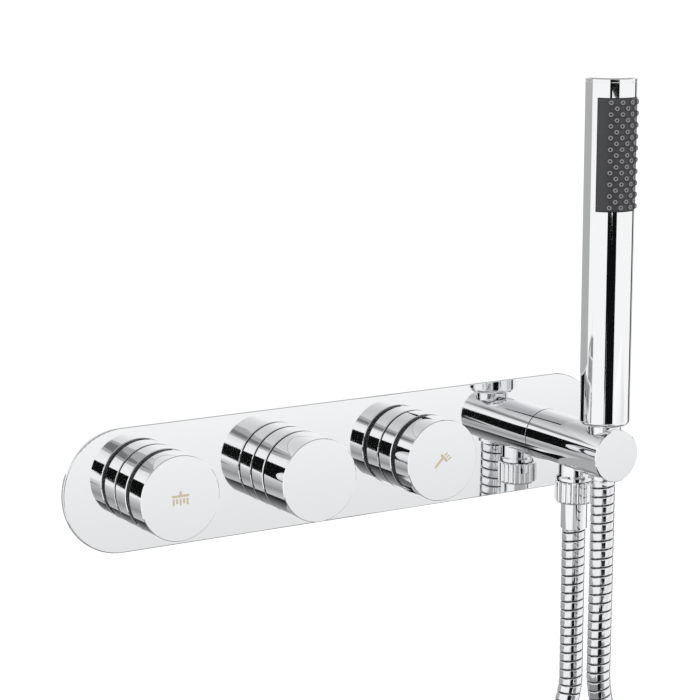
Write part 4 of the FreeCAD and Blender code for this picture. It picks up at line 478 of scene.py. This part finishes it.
# %% [markdown]
# ## The two signs
# Each outer knob shows by a small sign which outlet it opens: a fixed overhead spray on the left, a
# hand shower on the right. On the real object such a sign is cut a tenth of a millimetre deep and
# filled with a warm beige enamel. A picture on the surface would need an image file. Plain strokes
# with round ends, a hair proud of the chrome, show the same and turn with their knobs. Each stroke
# lies a little higher than the one before it, so that two tops that cross don't share a height,
# which would show as black specks.

# %% Signs
SIGN_PROUD = 0.06 * MM
SIGN_STEP = 0.005 * MM
END_CORNERS = 6
# Strokes as start, end and width, in mm from the middle of the knob's face.
OVERHEAD_STROKES = [((-4.9, 1.5), (4.9, 1.5), 1.4), ((0.0, 1.8), (0.0, 3.9), 1.4)]
OVERHEAD_STROKES += [((across, -0.4), (across, -3.4 + 0.9 * (place % 2)), 1.2)
                     for place, across in enumerate((-4.4, -2.2, 0.0, 2.2, 4.4))]
HAND_STROKES = [((-5.0, -3.6), (0.6, 1.9), 1.5), ((-0.7, 3.2), (2.9, -0.5), 1.6)]
HAND_STROKES += [((1.6 + step, 3.2 - step * 1.05), (3.2 + step, 4.2 - step * 1.05), 0.9)
                 for step in (0.0, 1.4, 2.8)]


def stroke(start, end, width):
    """The outline of a straight stroke with round ends, in millimetres across the knob's face."""
    along = (Vector(end) - Vector(start)).normalized()
    heading = math.atan2(along.y, along.x)
    outline = []
    for middle, turn in ((Vector(end), -0.5 * math.pi), (Vector(start), 0.5 * math.pi)):
        for corner in range(END_CORNERS + 1):
            angle = heading + turn + math.pi * corner / END_CORNERS
            outline.append(middle + Vector((math.cos(angle), math.sin(angle))) * width / 2)
    return outline


def sign(name, knob, strokes):
    """Strokes on the face of a knob, as one piece."""
    middle, face_depth = middle_of(knob), corners_of(knob)[0].y
    vertices, faces = [], []
    for number, (start, end, width) in enumerate(strokes):
        outline = stroke(start, end, width)
        first, count = len(vertices), len(outline)
        for depth in (face_depth + SIGN_PROUD, face_depth - SIGN_PROUD - number * SIGN_STEP):
            vertices += [Vector((middle.x + spot.x * MM, depth, middle.z + spot.y * MM))
                         for spot in outline]
        faces.append(tuple(range(first + count, first + 2 * count)))
        for corner in range(count):
            after = (corner + 1) % count
            faces.append((first + corner, first + after,
                          first + count + after, first + count + corner))
    made = new_mesh_object(name, vertices, faces)
    made.data.shade_flat()
    width = max(spot.x for spot in vertices) - min(spot.x for spot in vertices)
    print(name, "is", round(width / MM, 1), "mm wide")
    return made


overhead_sign = sign("overhead_spray_sign", "knob_left", OVERHEAD_STROKES)
hand_sign = sign("hand_shower_sign", "knob_right", HAND_STROKES)
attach(overhead_sign, "knob_left_turn")
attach(hand_sign, "knob_right_turn")

# %% [markdown]
# ## Finishes
# The CAD pieces arrive with flat colours. Each gets a material that starts from what the real one
# is, how its surface was made and what wear does to it. Colours are written as sRGB hex, as a
# colour picker gives them, and one function turns them into the linear values that the renderer
# works with. Another small function adds a node and its links, so that each material below is a
# short list of what it is made of.

# %% Colour
def linear(hex_colour):
    """A colour written as sRGB hex, in the linear values that the renderer works with."""
    channels = [int(hex_colour[place:place + 2], 16) / 255 for place in (1, 3, 5)]
    return (*[value / 12.92 if value <= 0.04045 else ((value + 0.055) / 1.055) ** 2.4
              for value in channels], 1.0)


def add_node(tree, kind, sockets=None, **settings):
    """Add one node, give it its settings, and set or link its sockets."""
    made = tree.nodes.new(kind)
    for name, value in settings.items():
        setattr(made, name, value)
    for socket, value in (sockets or {}).items():
        if isinstance(value, bpy.types.NodeSocket):
            tree.links.new(value, made.inputs[socket])
        else:
            made.inputs[socket].default_value = value
    return made


def new_material(name, hex_colour, metallic, roughness):
    """A material with its shader, and the object's own coordinates in metres."""
    material = bpy.data.materials.new(name)
    material.use_nodes = True
    tree = material.node_tree
    tree.nodes.clear()
    shader = add_node(tree, "ShaderNodeBsdfPrincipled", {
        "Base Color": linear(hex_colour), "Metallic": metallic, "Roughness": roughness
    })
    output = add_node(tree, "ShaderNodeOutputMaterial", {"Surface": shader.outputs["BSDF"]})
    output.is_active_output = True
    place = add_node(tree, "ShaderNodeTexCoord").outputs["Object"]
    return material, tree, shader, place


print("mid grey #808080 is", round(linear("#808080")[0], 3), "in linear light")


# %% [markdown]
# ### Bright chrome
# Brass polished to a mirror, then plated with nickel and a few tenths of a micron of chrome. It has
# no colour of its own: what the eye reads is the room, with sharp edges. A very slight change of
# gloss over a centimetre or so, from polishing and from wiping, keeps it from looking like a
# computed mirror. The grain of the last polish is a tenth of a millimetre or less, so it is drawn
# at 0.4 mm, and only as a trace in the gloss.

# %% Bright chrome
chrome, tree, shader, place = new_material("bright_chrome_plate", "#F4F5F6", 1.0, 0.03)
wiped = add_node(tree, "ShaderNodeTexNoise", {
    "Vector": place, "Scale": 1 / (14 * MM), "Detail": 3.0
})
grain = add_node(tree, "ShaderNodeTexNoise", {
    "Vector": place, "Scale": 1 / (0.4 * MM), "Detail": 2.0
})
both = add_node(tree, "ShaderNodeMath", {
    0: wiped.outputs["Fac"], 1: grain.outputs["Fac"]
}, operation="ADD")
gloss = add_node(tree, "ShaderNodeMapRange", {
    "Value": both.outputs[0], "From Min": 0.7, "From Max": 1.3, "To Min": 0.015, "To Max": 0.05
})
tree.links.new(gloss.outputs["Result"], shader.inputs["Roughness"])
print("bright chrome varies its gloss from 0.015 to 0.05")

# %% [markdown]
# ### Chrome on the wound strip
# The hose's strip is chromed before it is wound, and the bending crazes and dulls it a little, so
# its reflections are softer than on the knobs. The gaps between its ribs are deep and lie in shade,
# which the eye reads as fine dark lines, so their faces get a dark colour of their own: painted
# shade.

# %% Hose finishes
hose_chrome, tree, shader, place = new_material("chrome_on_wound_strip", "#EDEEF0", 1.0, 0.1)
crazed = add_node(tree, "ShaderNodeTexNoise", {
    "Vector": place, "Scale": 1 / (1.2 * MM), "Detail": 4.0
})
gloss = add_node(tree, "ShaderNodeMapRange", {
    "Value": crazed.outputs["Fac"], "From Min": 0.3, "From Max": 0.7, "To Min": 0.06, "To Max": 0.16
})
tree.links.new(gloss.outputs["Result"], shader.inputs["Roughness"])

# Painted shade: the gap faces take this dark colour, mottled by noise, in place of the shadow deep
# in each gap.
gap_painted_shade, tree, shader, place = new_material("painted_shade_in_the_gaps", "#2B2B2D", 0.6, 0.6)
gap_shade_noise = add_node(tree, "ShaderNodeTexNoise", {
    "Vector": place, "Scale": 1 / (0.8 * MM), "Detail": 3.0
})
tone = add_node(tree, "ShaderNodeMix", {
    "Factor": gap_shade_noise.outputs["Fac"], "A": linear("#161617"), "B": linear("#4A4A4C")
}, data_type="RGBA")
tree.links.new(tone.outputs["Result"], shader.inputs["Base Color"])
print("hose finishes:", hose_chrome.name, gap_painted_shade.name)

# %% [markdown]
# ### Black acetal
# The rings in the grooves behind the knobs are moulded in black acetal, which is slippery and
# slightly waxy. It stays dark because it sits in a groove, with a soft shine. The fine bump is the
# mould's spark-eroded skin.

# %% Black acetal
black_acetal, tree, shader, place = new_material("black_acetal_moulded", "#111214", 0.0, 0.4)
skin = add_node(tree, "ShaderNodeTexNoise", {
    "Vector": place, "Scale": 1 / (0.5 * MM), "Detail": 2.0
})
tone = add_node(tree, "ShaderNodeMix", {
    "Factor": skin.outputs["Fac"], "A": linear("#0C0D0E"), "B": linear("#1A1B1D")
}, data_type="RGBA")
relief = add_node(tree, "ShaderNodeBump", {
    "Height": skin.outputs["Fac"], "Strength": 0.3, "Distance": 0.02 * MM
})
tree.links.new(tone.outputs["Result"], shader.inputs["Base Color"])
tree.links.new(relief.outputs["Normal"], shader.inputs["Normal"])
print("black acetal:", black_acetal.name)

# %% [markdown]
# ### Grey silicone
# The spray face is one soft silicone moulding, so that a thumb can rub lime off its nozzles. Its
# body is a dark warm grey with a satin skin. The nozzles' tips are coloured paler, mixed in by how
# far a spot lies from the hand shower's axis.

# %% Grey silicone
silicone, tree, shader, place = new_material("grey_silicone_moulded", "#3A3A3D", 0.0, 0.42)
from_axis = add_node(tree, "ShaderNodeVectorMath", {
    0: place, 1: HANDSET_AXIS
}, operation="SUBTRACT")
flat_part = add_node(tree, "ShaderNodeVectorMath", {
    0: from_axis.outputs[0], 1: (1.0, 1.0, 0.0)
}, operation="MULTIPLY")
reach = add_node(tree, "ShaderNodeVectorMath", {0: flat_part.outputs[0]}, operation="LENGTH")
tip = add_node(tree, "ShaderNodeMapRange", {
    "Value": reach.outputs["Value"], "From Min": 16.35 * MM, "From Max": 16.75 * MM
})
speckle = add_node(tree, "ShaderNodeTexNoise", {
    "Vector": place, "Scale": 1 / (0.6 * MM), "Detail": 3.0
})
body_tone = add_node(tree, "ShaderNodeMix", {
    "Factor": speckle.outputs["Fac"], "A": linear("#2F2F32"), "B": linear("#404043")
}, data_type="RGBA")
tone = add_node(tree, "ShaderNodeMix", {
    "Factor": tip.outputs["Result"], "A": body_tone.outputs["Result"], "B": linear("#8A8A8D")
}, data_type="RGBA")
relief = add_node(tree, "ShaderNodeBump", {
    "Height": speckle.outputs["Fac"], "Strength": 0.25, "Distance": 0.03 * MM
})
tree.links.new(tone.outputs["Result"], shader.inputs["Base Color"])
tree.links.new(relief.outputs["Normal"], shader.inputs["Normal"])
print("grey silicone turns paler from 16.35 to 16.75 mm off the axis")

# %% [markdown]
# ### Black rubber
# Nitrile and EPDM rubber for the seals, rings and washers, and for the band round the put-away
# hose. The black rings at the feet take it too, where it is painted shade. It is matt, with a bloom
# of paler grey that comes to the surface in patches a few millimetres wide.

# %% Black rubber
rubber, tree, shader, place = new_material("black_rubber_pressed", "#1D1D1E", 0.0, 0.7)
bloom = add_node(tree, "ShaderNodeTexNoise", {
    "Vector": place, "Scale": 1 / (4 * MM), "Detail": 4.0
})
tone = add_node(tree, "ShaderNodeMix", {
    "Factor": bloom.outputs["Fac"], "A": linear("#151516"), "B": linear("#2C2C2E")
}, data_type="RGBA")
grit = add_node(tree, "ShaderNodeTexNoise", {
    "Vector": place, "Scale": 1 / (0.3 * MM), "Detail": 2.0
})
relief = add_node(tree, "ShaderNodeBump", {
    "Height": grit.outputs["Fac"], "Strength": 0.4, "Distance": 0.04 * MM
})
tree.links.new(tone.outputs["Result"], shader.inputs["Base Color"])
tree.links.new(relief.outputs["Normal"], shader.inputs["Normal"])
print("black rubber:", rubber.name)

# %% [markdown]
# ### Turned brass and cast brass
# Inside the wall nothing is plated. The cartridges and sleeves are turned brass: yellow and bright,
# with the fine rings that the tool leaves, drawn every 3 mm because the real 0.1 mm feed would only
# shimmer. The big casting is sand cast: paler, dull and grainy at about a millimetre, with brown
# patches where the skin has oxidised.

# %% Brass
turned_brass, tree, shader, place = new_material("turned_brass", "#D9B36C", 1.0, 0.25)
tarnish = add_node(tree, "ShaderNodeTexNoise", {
    "Vector": place, "Scale": 1 / (9 * MM), "Detail": 4.0
})
tone = add_node(tree, "ShaderNodeMix", {
    "Factor": tarnish.outputs["Fac"], "A": linear("#DDBB78"), "B": linear("#C49A55")
}, data_type="RGBA")
# At this scale the wave node draws a ring every 3.1 mm.
tool_rings = add_node(tree, "ShaderNodeTexWave", {
    "Vector": place, "Scale": 100.0, "Distortion": 0.4
}, bands_direction="Y")
relief = add_node(tree, "ShaderNodeBump", {
    "Height": tool_rings.outputs["Fac"], "Strength": 0.15, "Distance": 0.01 * MM
})
tree.links.new(tone.outputs["Result"], shader.inputs["Base Color"])
tree.links.new(relief.outputs["Normal"], shader.inputs["Normal"])

cast_brass, tree, shader, place = new_material("sand_cast_brass", "#BF9A5A", 1.0, 0.5)
sand = add_node(tree, "ShaderNodeTexVoronoi", {"Vector": place, "Scale": 1 / (1.1 * MM)})
oxide = add_node(tree, "ShaderNodeTexNoise", {
    "Vector": place, "Scale": 1 / (18 * MM), "Detail": 5.0
})
tone = add_node(tree, "ShaderNodeMix", {
    "Factor": oxide.outputs["Fac"], "A": linear("#C9A566"), "B": linear("#94703F")
}, data_type="RGBA")
relief = add_node(tree, "ShaderNodeBump", {
    "Height": sand.outputs["Distance"], "Strength": 0.5, "Distance": 0.12 * MM
})
tree.links.new(tone.outputs["Result"], shader.inputs["Base Color"])
tree.links.new(relief.outputs["Normal"], shader.inputs["Normal"])
print("brass finishes:", turned_brass.name, cast_brass.name)

# %% [markdown]
# ### Ceramic, steel, plastic and the wax cup
# The control discs are lapped alumina, ivory and nearly as flat as glass. The bracket and screws
# are bright rolled stainless steel with a fine lengthwise grain, drawn at 0.6 mm. Cages and
# carriers are nylon with chopped glass, whose fibres show as pale flecks. The wax element is a spun
# copper cup, warmer and softer than the brass.

# %% Inner finishes
ceramic, tree, shader, place = new_material("lapped_ceramic", "#EFEDE6", 0.0, 0.12)
cloud = add_node(tree, "ShaderNodeTexNoise", {
    "Vector": place, "Scale": 1 / (2 * MM), "Detail": 3.0
})
tone = add_node(tree, "ShaderNodeMix", {
    "Factor": cloud.outputs["Fac"], "A": linear("#F2F0EA"), "B": linear("#E3E0D6")
}, data_type="RGBA")
tree.links.new(tone.outputs["Result"], shader.inputs["Base Color"])

steel, tree, shader, place = new_material("rolled_stainless_steel", "#B9BBBD", 1.0, 0.3)
rolled = add_node(tree, "ShaderNodeVectorMath", {
    0: place, 1: (0.04, 1.0, 1.0)
}, operation="MULTIPLY")
streaks = add_node(tree, "ShaderNodeTexNoise", {
    "Vector": rolled.outputs[0], "Scale": 1 / (0.6 * MM), "Detail": 3.0
})
gloss = add_node(tree, "ShaderNodeMapRange", {
    "Value": streaks.outputs["Fac"], "From Min": 0.3, "From Max": 0.7, "To Min": 0.2, "To Max": 0.42
})
tree.links.new(gloss.outputs["Result"], shader.inputs["Roughness"])

plastic, tree, shader, place = new_material("glass_filled_nylon", "#D8D6CF", 0.0, 0.45)
fibres = add_node(tree, "ShaderNodeTexNoise", {
    "Vector": place, "Scale": 1 / (0.7 * MM), "Detail": 4.0
})
tone = add_node(tree, "ShaderNodeMix", {
    "Factor": fibres.outputs["Fac"], "A": linear("#E2E0DA"), "B": linear("#C6C3BA")
}, data_type="RGBA")
tree.links.new(tone.outputs["Result"], shader.inputs["Base Color"])

wax_cup, tree, shader, place = new_material("spun_copper_cup", "#C98B5B", 1.0, 0.3)
heat = add_node(tree, "ShaderNodeTexNoise", {"Vector": place, "Scale": 1 / (3 * MM), "Detail": 3.0})
tone = add_node(tree, "ShaderNodeMix", {
    "Factor": heat.outputs["Fac"], "A": linear("#D09566"), "B": linear("#A96F48")
}, data_type="RGBA")
tree.links.new(tone.outputs["Result"], shader.inputs["Base Color"])
print("inner finishes:", ceramic.name, steel.name, plastic.name, wax_cup.name)

# %% [markdown]
# ### Beige enamel
# The signs are filled with a baked enamel, warm beige, smooth and slightly uneven in tone, because
# the fill settles a little lower in the middle of each stroke.

# %% Beige enamel
enamel, tree, shader, place = new_material("beige_baked_enamel", "#D3C6A5", 0.0, 0.3)
settled = add_node(tree, "ShaderNodeTexNoise", {
    "Vector": place, "Scale": 1 / (0.9 * MM), "Detail": 2.0
})
tone = add_node(tree, "ShaderNodeMix", {
    "Factor": settled.outputs["Fac"], "A": linear("#DCD0B2"), "B": linear("#C9BB97")
}, data_type="RGBA")
tree.links.new(tone.outputs["Result"], shader.inputs["Base Color"])
print("enamel:", enamel.name)

# %% [markdown]
# ## Give each piece its finish
# Every CAD piece already names the kind of material that it is made of, so one table is enough. The
# hose takes two materials, its chrome and, for its gaps, a dark one that is painted shade, and the
# pieces made here take theirs by hand.

# %% Give finishes
FINISH_OF_SLOT = {
    "chrome": chrome,
    "chrome_hose": hose_chrome,
    "dark_ring": black_acetal,
    "brass": turned_brass,
    "cast_brass": cast_brass,
    "ceramic": ceramic,
    "seal_rubber": rubber,
    "spray_rubber": silicone,
    "steel": steel,
    "plastic": plastic,
    "wax_brass": wax_cup,
}
given = 0
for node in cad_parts.values():
    for slot in node.material_slots:
        slot.material = FINISH_OF_SLOT[slot.material.name.split(".")[0]]
        given += 1
for finish in (hose_chrome, gap_painted_shade):
    hose.data.materials.append(finish)
# Painted shade: the black rings at the feet take the tie's rubber, to darken the gaps at the feet.
for piece in (tie, *shadow_gap_rings):
    piece.data.materials.append(rubber)
spray_pad.data.materials.append(silicone)
for piece in (overhead_sign, hand_sign):
    piece.data.materials.append(enamel)
print("finishes given to", given, "CAD slots")

# %% [markdown]
# ## The floor
# A plain pale sheet under the object takes its soft shadow. On its own it would come out a little
# grey, so for the camera it also glows a little. What the chrome mirrors of it is plain white
# paper, lit evenly, so a mirrored ray gets white and no shadow. The view stays in the Standard
# transform, because white has to stay white.

# %% Floor
FLOOR_LEVEL = -0.56
FLOOR_REACH = 30
FLOOR_GLOW = 0.35

scene = bpy.context.scene
scene.view_settings.view_transform = "Standard"


def seen_directly(tree):
    """The light path's sockets, and one that is 1 for what the camera sees, also through glass."""
    path = add_node(tree, "ShaderNodeLightPath").outputs
    seen = add_node(tree, "ShaderNodeMath", {
        0: path["Is Camera Ray"], 1: path["Is Transmission Ray"]
    }, operation="MAXIMUM")
    return path, seen.outputs[0]


def bare_tree(owner):
    """The node tree of a new material or world, emptied."""
    owner.use_nodes = True
    owner.node_tree.nodes.clear()
    return owner.node_tree


floor_corners = [(x * FLOOR_REACH, y * FLOOR_REACH, FLOOR_LEVEL)
                 for x, y in ((-1, -1), (1, -1), (1, 1), (-1, 1))]
floor = new_mesh_object("studio_floor", floor_corners, [(0, 1, 2, 3)])
paper = bpy.data.materials.new("pale_paper")
tree = bare_tree(paper)
path, seen = seen_directly(tree)
lit = add_node(tree, "ShaderNodeBsdfDiffuse", {"Color": linear("#F7F7F7")})
no_glow = add_node(tree, "ShaderNodeEmission", {"Strength": 0.0})
glow = add_node(tree, "ShaderNodeEmission", {"Strength": FLOOR_GLOW})
mirrored = add_node(tree, "ShaderNodeEmission", {"Strength": 1.0})
glow_if_seen = add_node(tree, "ShaderNodeMixShader", {
    0: seen, 1: no_glow.outputs[0], 2: glow.outputs[0]
})
lit_and_glow = add_node(tree, "ShaderNodeAddShader", {
    0: lit.outputs[0], 1: glow_if_seen.outputs[0]
})
shown = add_node(tree, "ShaderNodeMixShader", {
    0: path["Is Glossy Ray"], 1: lit_and_glow.outputs[0], 2: mirrored.outputs[0]
})
add_node(tree, "ShaderNodeOutputMaterial", {"Surface": shown.outputs[0]})
floor.data.materials.append(paper)
print("floor at", FLOOR_LEVEL, "m")

# %% [markdown]
# ## The air round it
# The background is plain white for the camera. The light that it gives is a level three quarters,
# so that matt pieces keep their tones. What the chrome mirrors of it is white at the height of the
# eye and darker towards the ceiling, as in a real studio, which gives the tops of the round pieces
# their soft grey.

# %% Air
AIR_LIGHT = 0.75
MIRRORED_LIGHT = 1.02
# Grey level of what is mirrored, by how steeply the ray goes up: height of its direction, level.
CEILING = [(0.30, 1.0), (0.45, 0.80), (0.56, 0.66), (0.64, 0.42), (1.0, 0.40)]

world = bpy.data.worlds.new("studio_air")
scene.world = world
tree = bare_tree(world)
ray_way = add_node(tree, "ShaderNodeTexCoord").outputs["Generated"]
height = add_node(tree, "ShaderNodeSeparateXYZ", {"Vector": ray_way}).outputs["Z"]
ramp = add_node(tree, "ShaderNodeValToRGB", {"Fac": height})
stops = ramp.color_ramp.elements
stops[0].position, stops[-1].position = CEILING[0][0], CEILING[-1][0]
stops[0].color, stops[-1].color = (*[CEILING[0][1]] * 3, 1), (*[CEILING[-1][1]] * 3, 1)
for position, level in CEILING[1:-1]:
    stops.new(position).color = (*[level] * 3, 1)
path, seen = seen_directly(tree)
white = (1, 1, 1, 1)
air = add_node(tree, "ShaderNodeBackground", {"Color": white, "Strength": AIR_LIGHT})
mirrored = add_node(tree, "ShaderNodeBackground", {
    "Color": ramp.outputs["Color"], "Strength": MIRRORED_LIGHT
})
backdrop = add_node(tree, "ShaderNodeBackground", {"Color": white, "Strength": 1.0})
air_or_mirrored = add_node(tree, "ShaderNodeMixShader", {
    0: path["Is Glossy Ray"], 1: air.outputs[0], 2: mirrored.outputs[0]
})
shown = add_node(tree, "ShaderNodeMixShader", {
    0: seen, 1: air_or_mirrored.outputs[0], 2: backdrop.outputs[0]
})
add_node(tree, "ShaderNodeOutputWorld", {"Surface": shown.outputs[0]})
print("air gives", AIR_LIGHT, "of full light")

# %% [markdown]
# ## The lamp
# One big soft lamp from the upper left gives the shadows a side and the rubber its form. Chrome
# would show it as a hard white square, which the photograph doesn't have, so polished pieces don't
# mirror it.

# %% Lamp
LAMP_SPOT = (-1.3, -1.7, 1.6)
LAMP_SIZE = 1.4
LAMP_WATTS = 14.0

lamp_data = bpy.data.lights.new("soft_lamp", "AREA")
lamp_data.shape = "SQUARE"
lamp_data.size = LAMP_SIZE
lamp_data.energy = LAMP_WATTS
lamp = bpy.data.objects.new("soft_lamp", lamp_data)
scene.collection.objects.link(lamp)
lamp.location = LAMP_SPOT
lamp.rotation_euler = (-lamp.location).to_track_quat("-Z", "Y").to_euler()
lamp.visible_glossy = False
print("lamp of", LAMP_WATTS, "W at", LAMP_SPOT)

# %% [markdown]
# ## What the chrome mirrors
# A photographer of chrome builds the reflections: white nearly everywhere, and a few black and grey
# flags that give the metal its edges. Here a flag is a card that gives its own grey and that only
# mirrored rays can see, so it casts no shadow and never shows itself. A card may fade along one
# direction, as cloth does that hangs away from the light.

# %% Card helpers
BLACK = 0.005
cards = []


def card(name, corners, faces, brightness, fade=None):
    """A card that only polished pieces see. fade is (axis, from, to, brightness there)."""
    shade = bpy.data.materials.new(name)
    tree = bare_tree(shade)
    light = add_node(tree, "ShaderNodeEmission", {"Strength": brightness})
    if fade:
        axis, start, end, final = fade
        spot = add_node(tree, "ShaderNodeTexCoord").outputs["Object"]
        parts = add_node(tree, "ShaderNodeSeparateXYZ", {"Vector": spot})
        change = add_node(tree, "ShaderNodeMapRange", {
            "Value": parts.outputs[axis], "From Min": start, "From Max": end, "To Min": brightness,
            "To Max": final
        })
        tree.links.new(change.outputs["Result"], light.inputs["Strength"])
    add_node(tree, "ShaderNodeOutputMaterial", {"Surface": light.outputs[0]})
    made = new_mesh_object(name, corners, faces)
    made.data.materials.append(shade)
    made.visible_camera = made.visible_diffuse = made.visible_shadow = False
    made.visible_transmission = made.visible_volume_scatter = False
    cards.append(made)


def upright(name, depth, brightness, *corners):
    """A flat card on an upright plane, with corners as (x, z) in metres."""
    card(name, [(x, depth, z) for x, z in corners], [tuple(range(len(corners)))], brightness)


def lying(name, level, brightness, *corners, fade=None):
    """A flat card on a level plane, with corners as (x, y) in metres."""
    card(name, [(x, y, level) for x, y in corners], [tuple(range(len(corners)))], brightness, fade)


print("a black flag gives", BLACK, "of white")

# %% [markdown]
# ## The black flags
# The long black stripes on the knobs, the holder and the hand shower are all one black flag that
# stood behind the camera. Where each edge of it lay was found by following lines of sight from the
# camera, off the round pieces and off the plate, out into the room. The flag has a window at the
# height of the plate, so that from the front the plate mirrors white. A small card near the hand
# shower makes up for what the window takes from its stripe.

# %% Black flags
NEAR_DEPTH, FLAG_DEPTH, FAR_DEPTH = -0.15, -1.25, -2.20

upright("black_flag_upper_left", FLAG_DEPTH, BLACK,
        (-0.95, 0.31), (-0.62, 0.31), (-0.62, -0.01), (-0.72, 0.00), (-0.95, 0.03))
upright("black_flag_bar", FLAG_DEPTH, BLACK,
        (-0.95, 0.150), (0.13, 0.150), (0.13, 0.122), (-0.95, 0.122))
upright("black_flag_lower", FLAG_DEPTH, BLACK,
        (-0.72, -0.012), (-0.31, -0.012), (-0.30, -0.066), (0.13, -0.066),
        (0.13, -0.38), (-0.70, -0.38))
upright("black_card_by_hand_shower", NEAR_DEPTH, BLACK,
        (0.113, 0.095), (0.1425, 0.095), (0.1425, 0.150), (0.113, 0.150))
upright("black_flag_far_left", FAR_DEPTH, BLACK,
        (-1.30, 0.10), (-1.34, -0.16), (-1.45, -0.535), (-1.75, -0.535),
        (-1.80, 0.66), (-1.47, 0.64), (-1.455, 0.40))
upright("black_strip_by_hose", NEAR_DEPTH, BLACK,
        (0.050, -0.130), (0.084, -0.128), (0.102, -0.112), (0.120, -0.095),
        (0.120, -0.52), (0.050, -0.52))
print(len(cards), "black cards")

# %% [markdown]
# ## The grey cards
# The undersides of the knobs and of the holder mirror the floor in greys that change slowly, so
# these cards lie just above the floor and fade. They lie at levels a few millimetres apart, so that
# they don't share a height where they meet. Two small cards above give the holder's reflection in
# the plate its grey.

# %% Grey cards
lying("grey_card_on_floor", -0.555, 0.35,
      (-0.95, -1.28), (-0.20, -1.28), (-0.20, -0.70), (-0.95, -0.70),
      fade=("Y", -1.15, -0.80, 0.75))
lying("grey_card_on_far_floor", -0.556, 0.42,
      (-2.3, -2.9), (-0.20, -2.9), (-0.20, -1.28), (-1.2, -1.28),
      fade=("Y", -1.3, -2.9, 0.86))
lying("dark_card_on_floor", -0.550, 0.02,
      (-0.19, -1.28), (-0.19, -0.95), (-0.30, -0.857), (0.0, -0.69), (0.0, -0.60),
      (0.43, -0.60), (0.43, -1.28),
      fade=("X", -0.20, 0.43, 0.50))
lying("pale_card_far_right", -0.552, 0.84,
      (0.45, -1.35), (2.6, -1.35), (2.6, -3.0), (0.45, -3.0),
      fade=("Y", -1.7, -2.9, 1.08))
lying("grey_card_under", -0.553, 0.28, (-0.7, -0.52), (0.9, -0.52), (0.9, 0.55), (-0.7, 0.55))
lying("grey_floor_behind", -0.554, 0.42, (-1.6, 0.55), (1.1, 0.55), (1.1, 2.0), (-1.6, 2.0))
lying("dark_strip_right", -0.5525, 0.05, (0.92, 0.035), (1.85, 0.06), (1.77, 0.54), (0.92, 0.28))
upright("bar_above", -0.627, 0.2, (-0.31, 0.318), (-0.13, 0.318), (-0.13, 0.352), (-0.31, 0.352))
upright("grey_card_above", -0.63, 0.45,
        (-0.36, 0.298), (-0.08, 0.298), (-0.08, 0.385), (-0.36, 0.385))
print(len(cards), "cards with the grey ones")

# %% [markdown]
# ## The curtains
# The sides of the upright hand shower mirror what stands round the object at every direction, and a
# flat card would only cover a few of them. So these cards follow a circle round the object, as a
# curtain on a rail does: a grey one behind, and a narrow dark edge with a paler grey beside it on
# the right.

# %% Curtains
CURTAIN_COLUMNS = 24
CURTAIN_BOTTOM, CURTAIN_TOP = -0.55, 0.20


def curtain(name, azimuths, distance, brightness):
    """An upright card that follows a circle round the object, between two directions in degrees."""
    corners, faces = [], []
    for column in range(CURTAIN_COLUMNS + 1):
        azimuth = math.radians(azimuths[0] + (azimuths[1] - azimuths[0]) * column / CURTAIN_COLUMNS)
        for level in (CURTAIN_BOTTOM, CURTAIN_TOP):
            corners.append((math.sin(azimuth) * distance, -math.cos(azimuth) * distance, level))
    for column in range(CURTAIN_COLUMNS):
        faces.append((2 * column, 2 * column + 1, 2 * column + 3, 2 * column + 2))
    card(name, corners, faces, brightness)


curtain("grey_behind", (-228, -130), 1.85, 0.45)
curtain("dark_edge_right", (92, 107), 1.85, 0.05)
curtain("grey_edge_right", (107, 132), 1.86, 0.65)
print("cards and curtains:", len(cards))
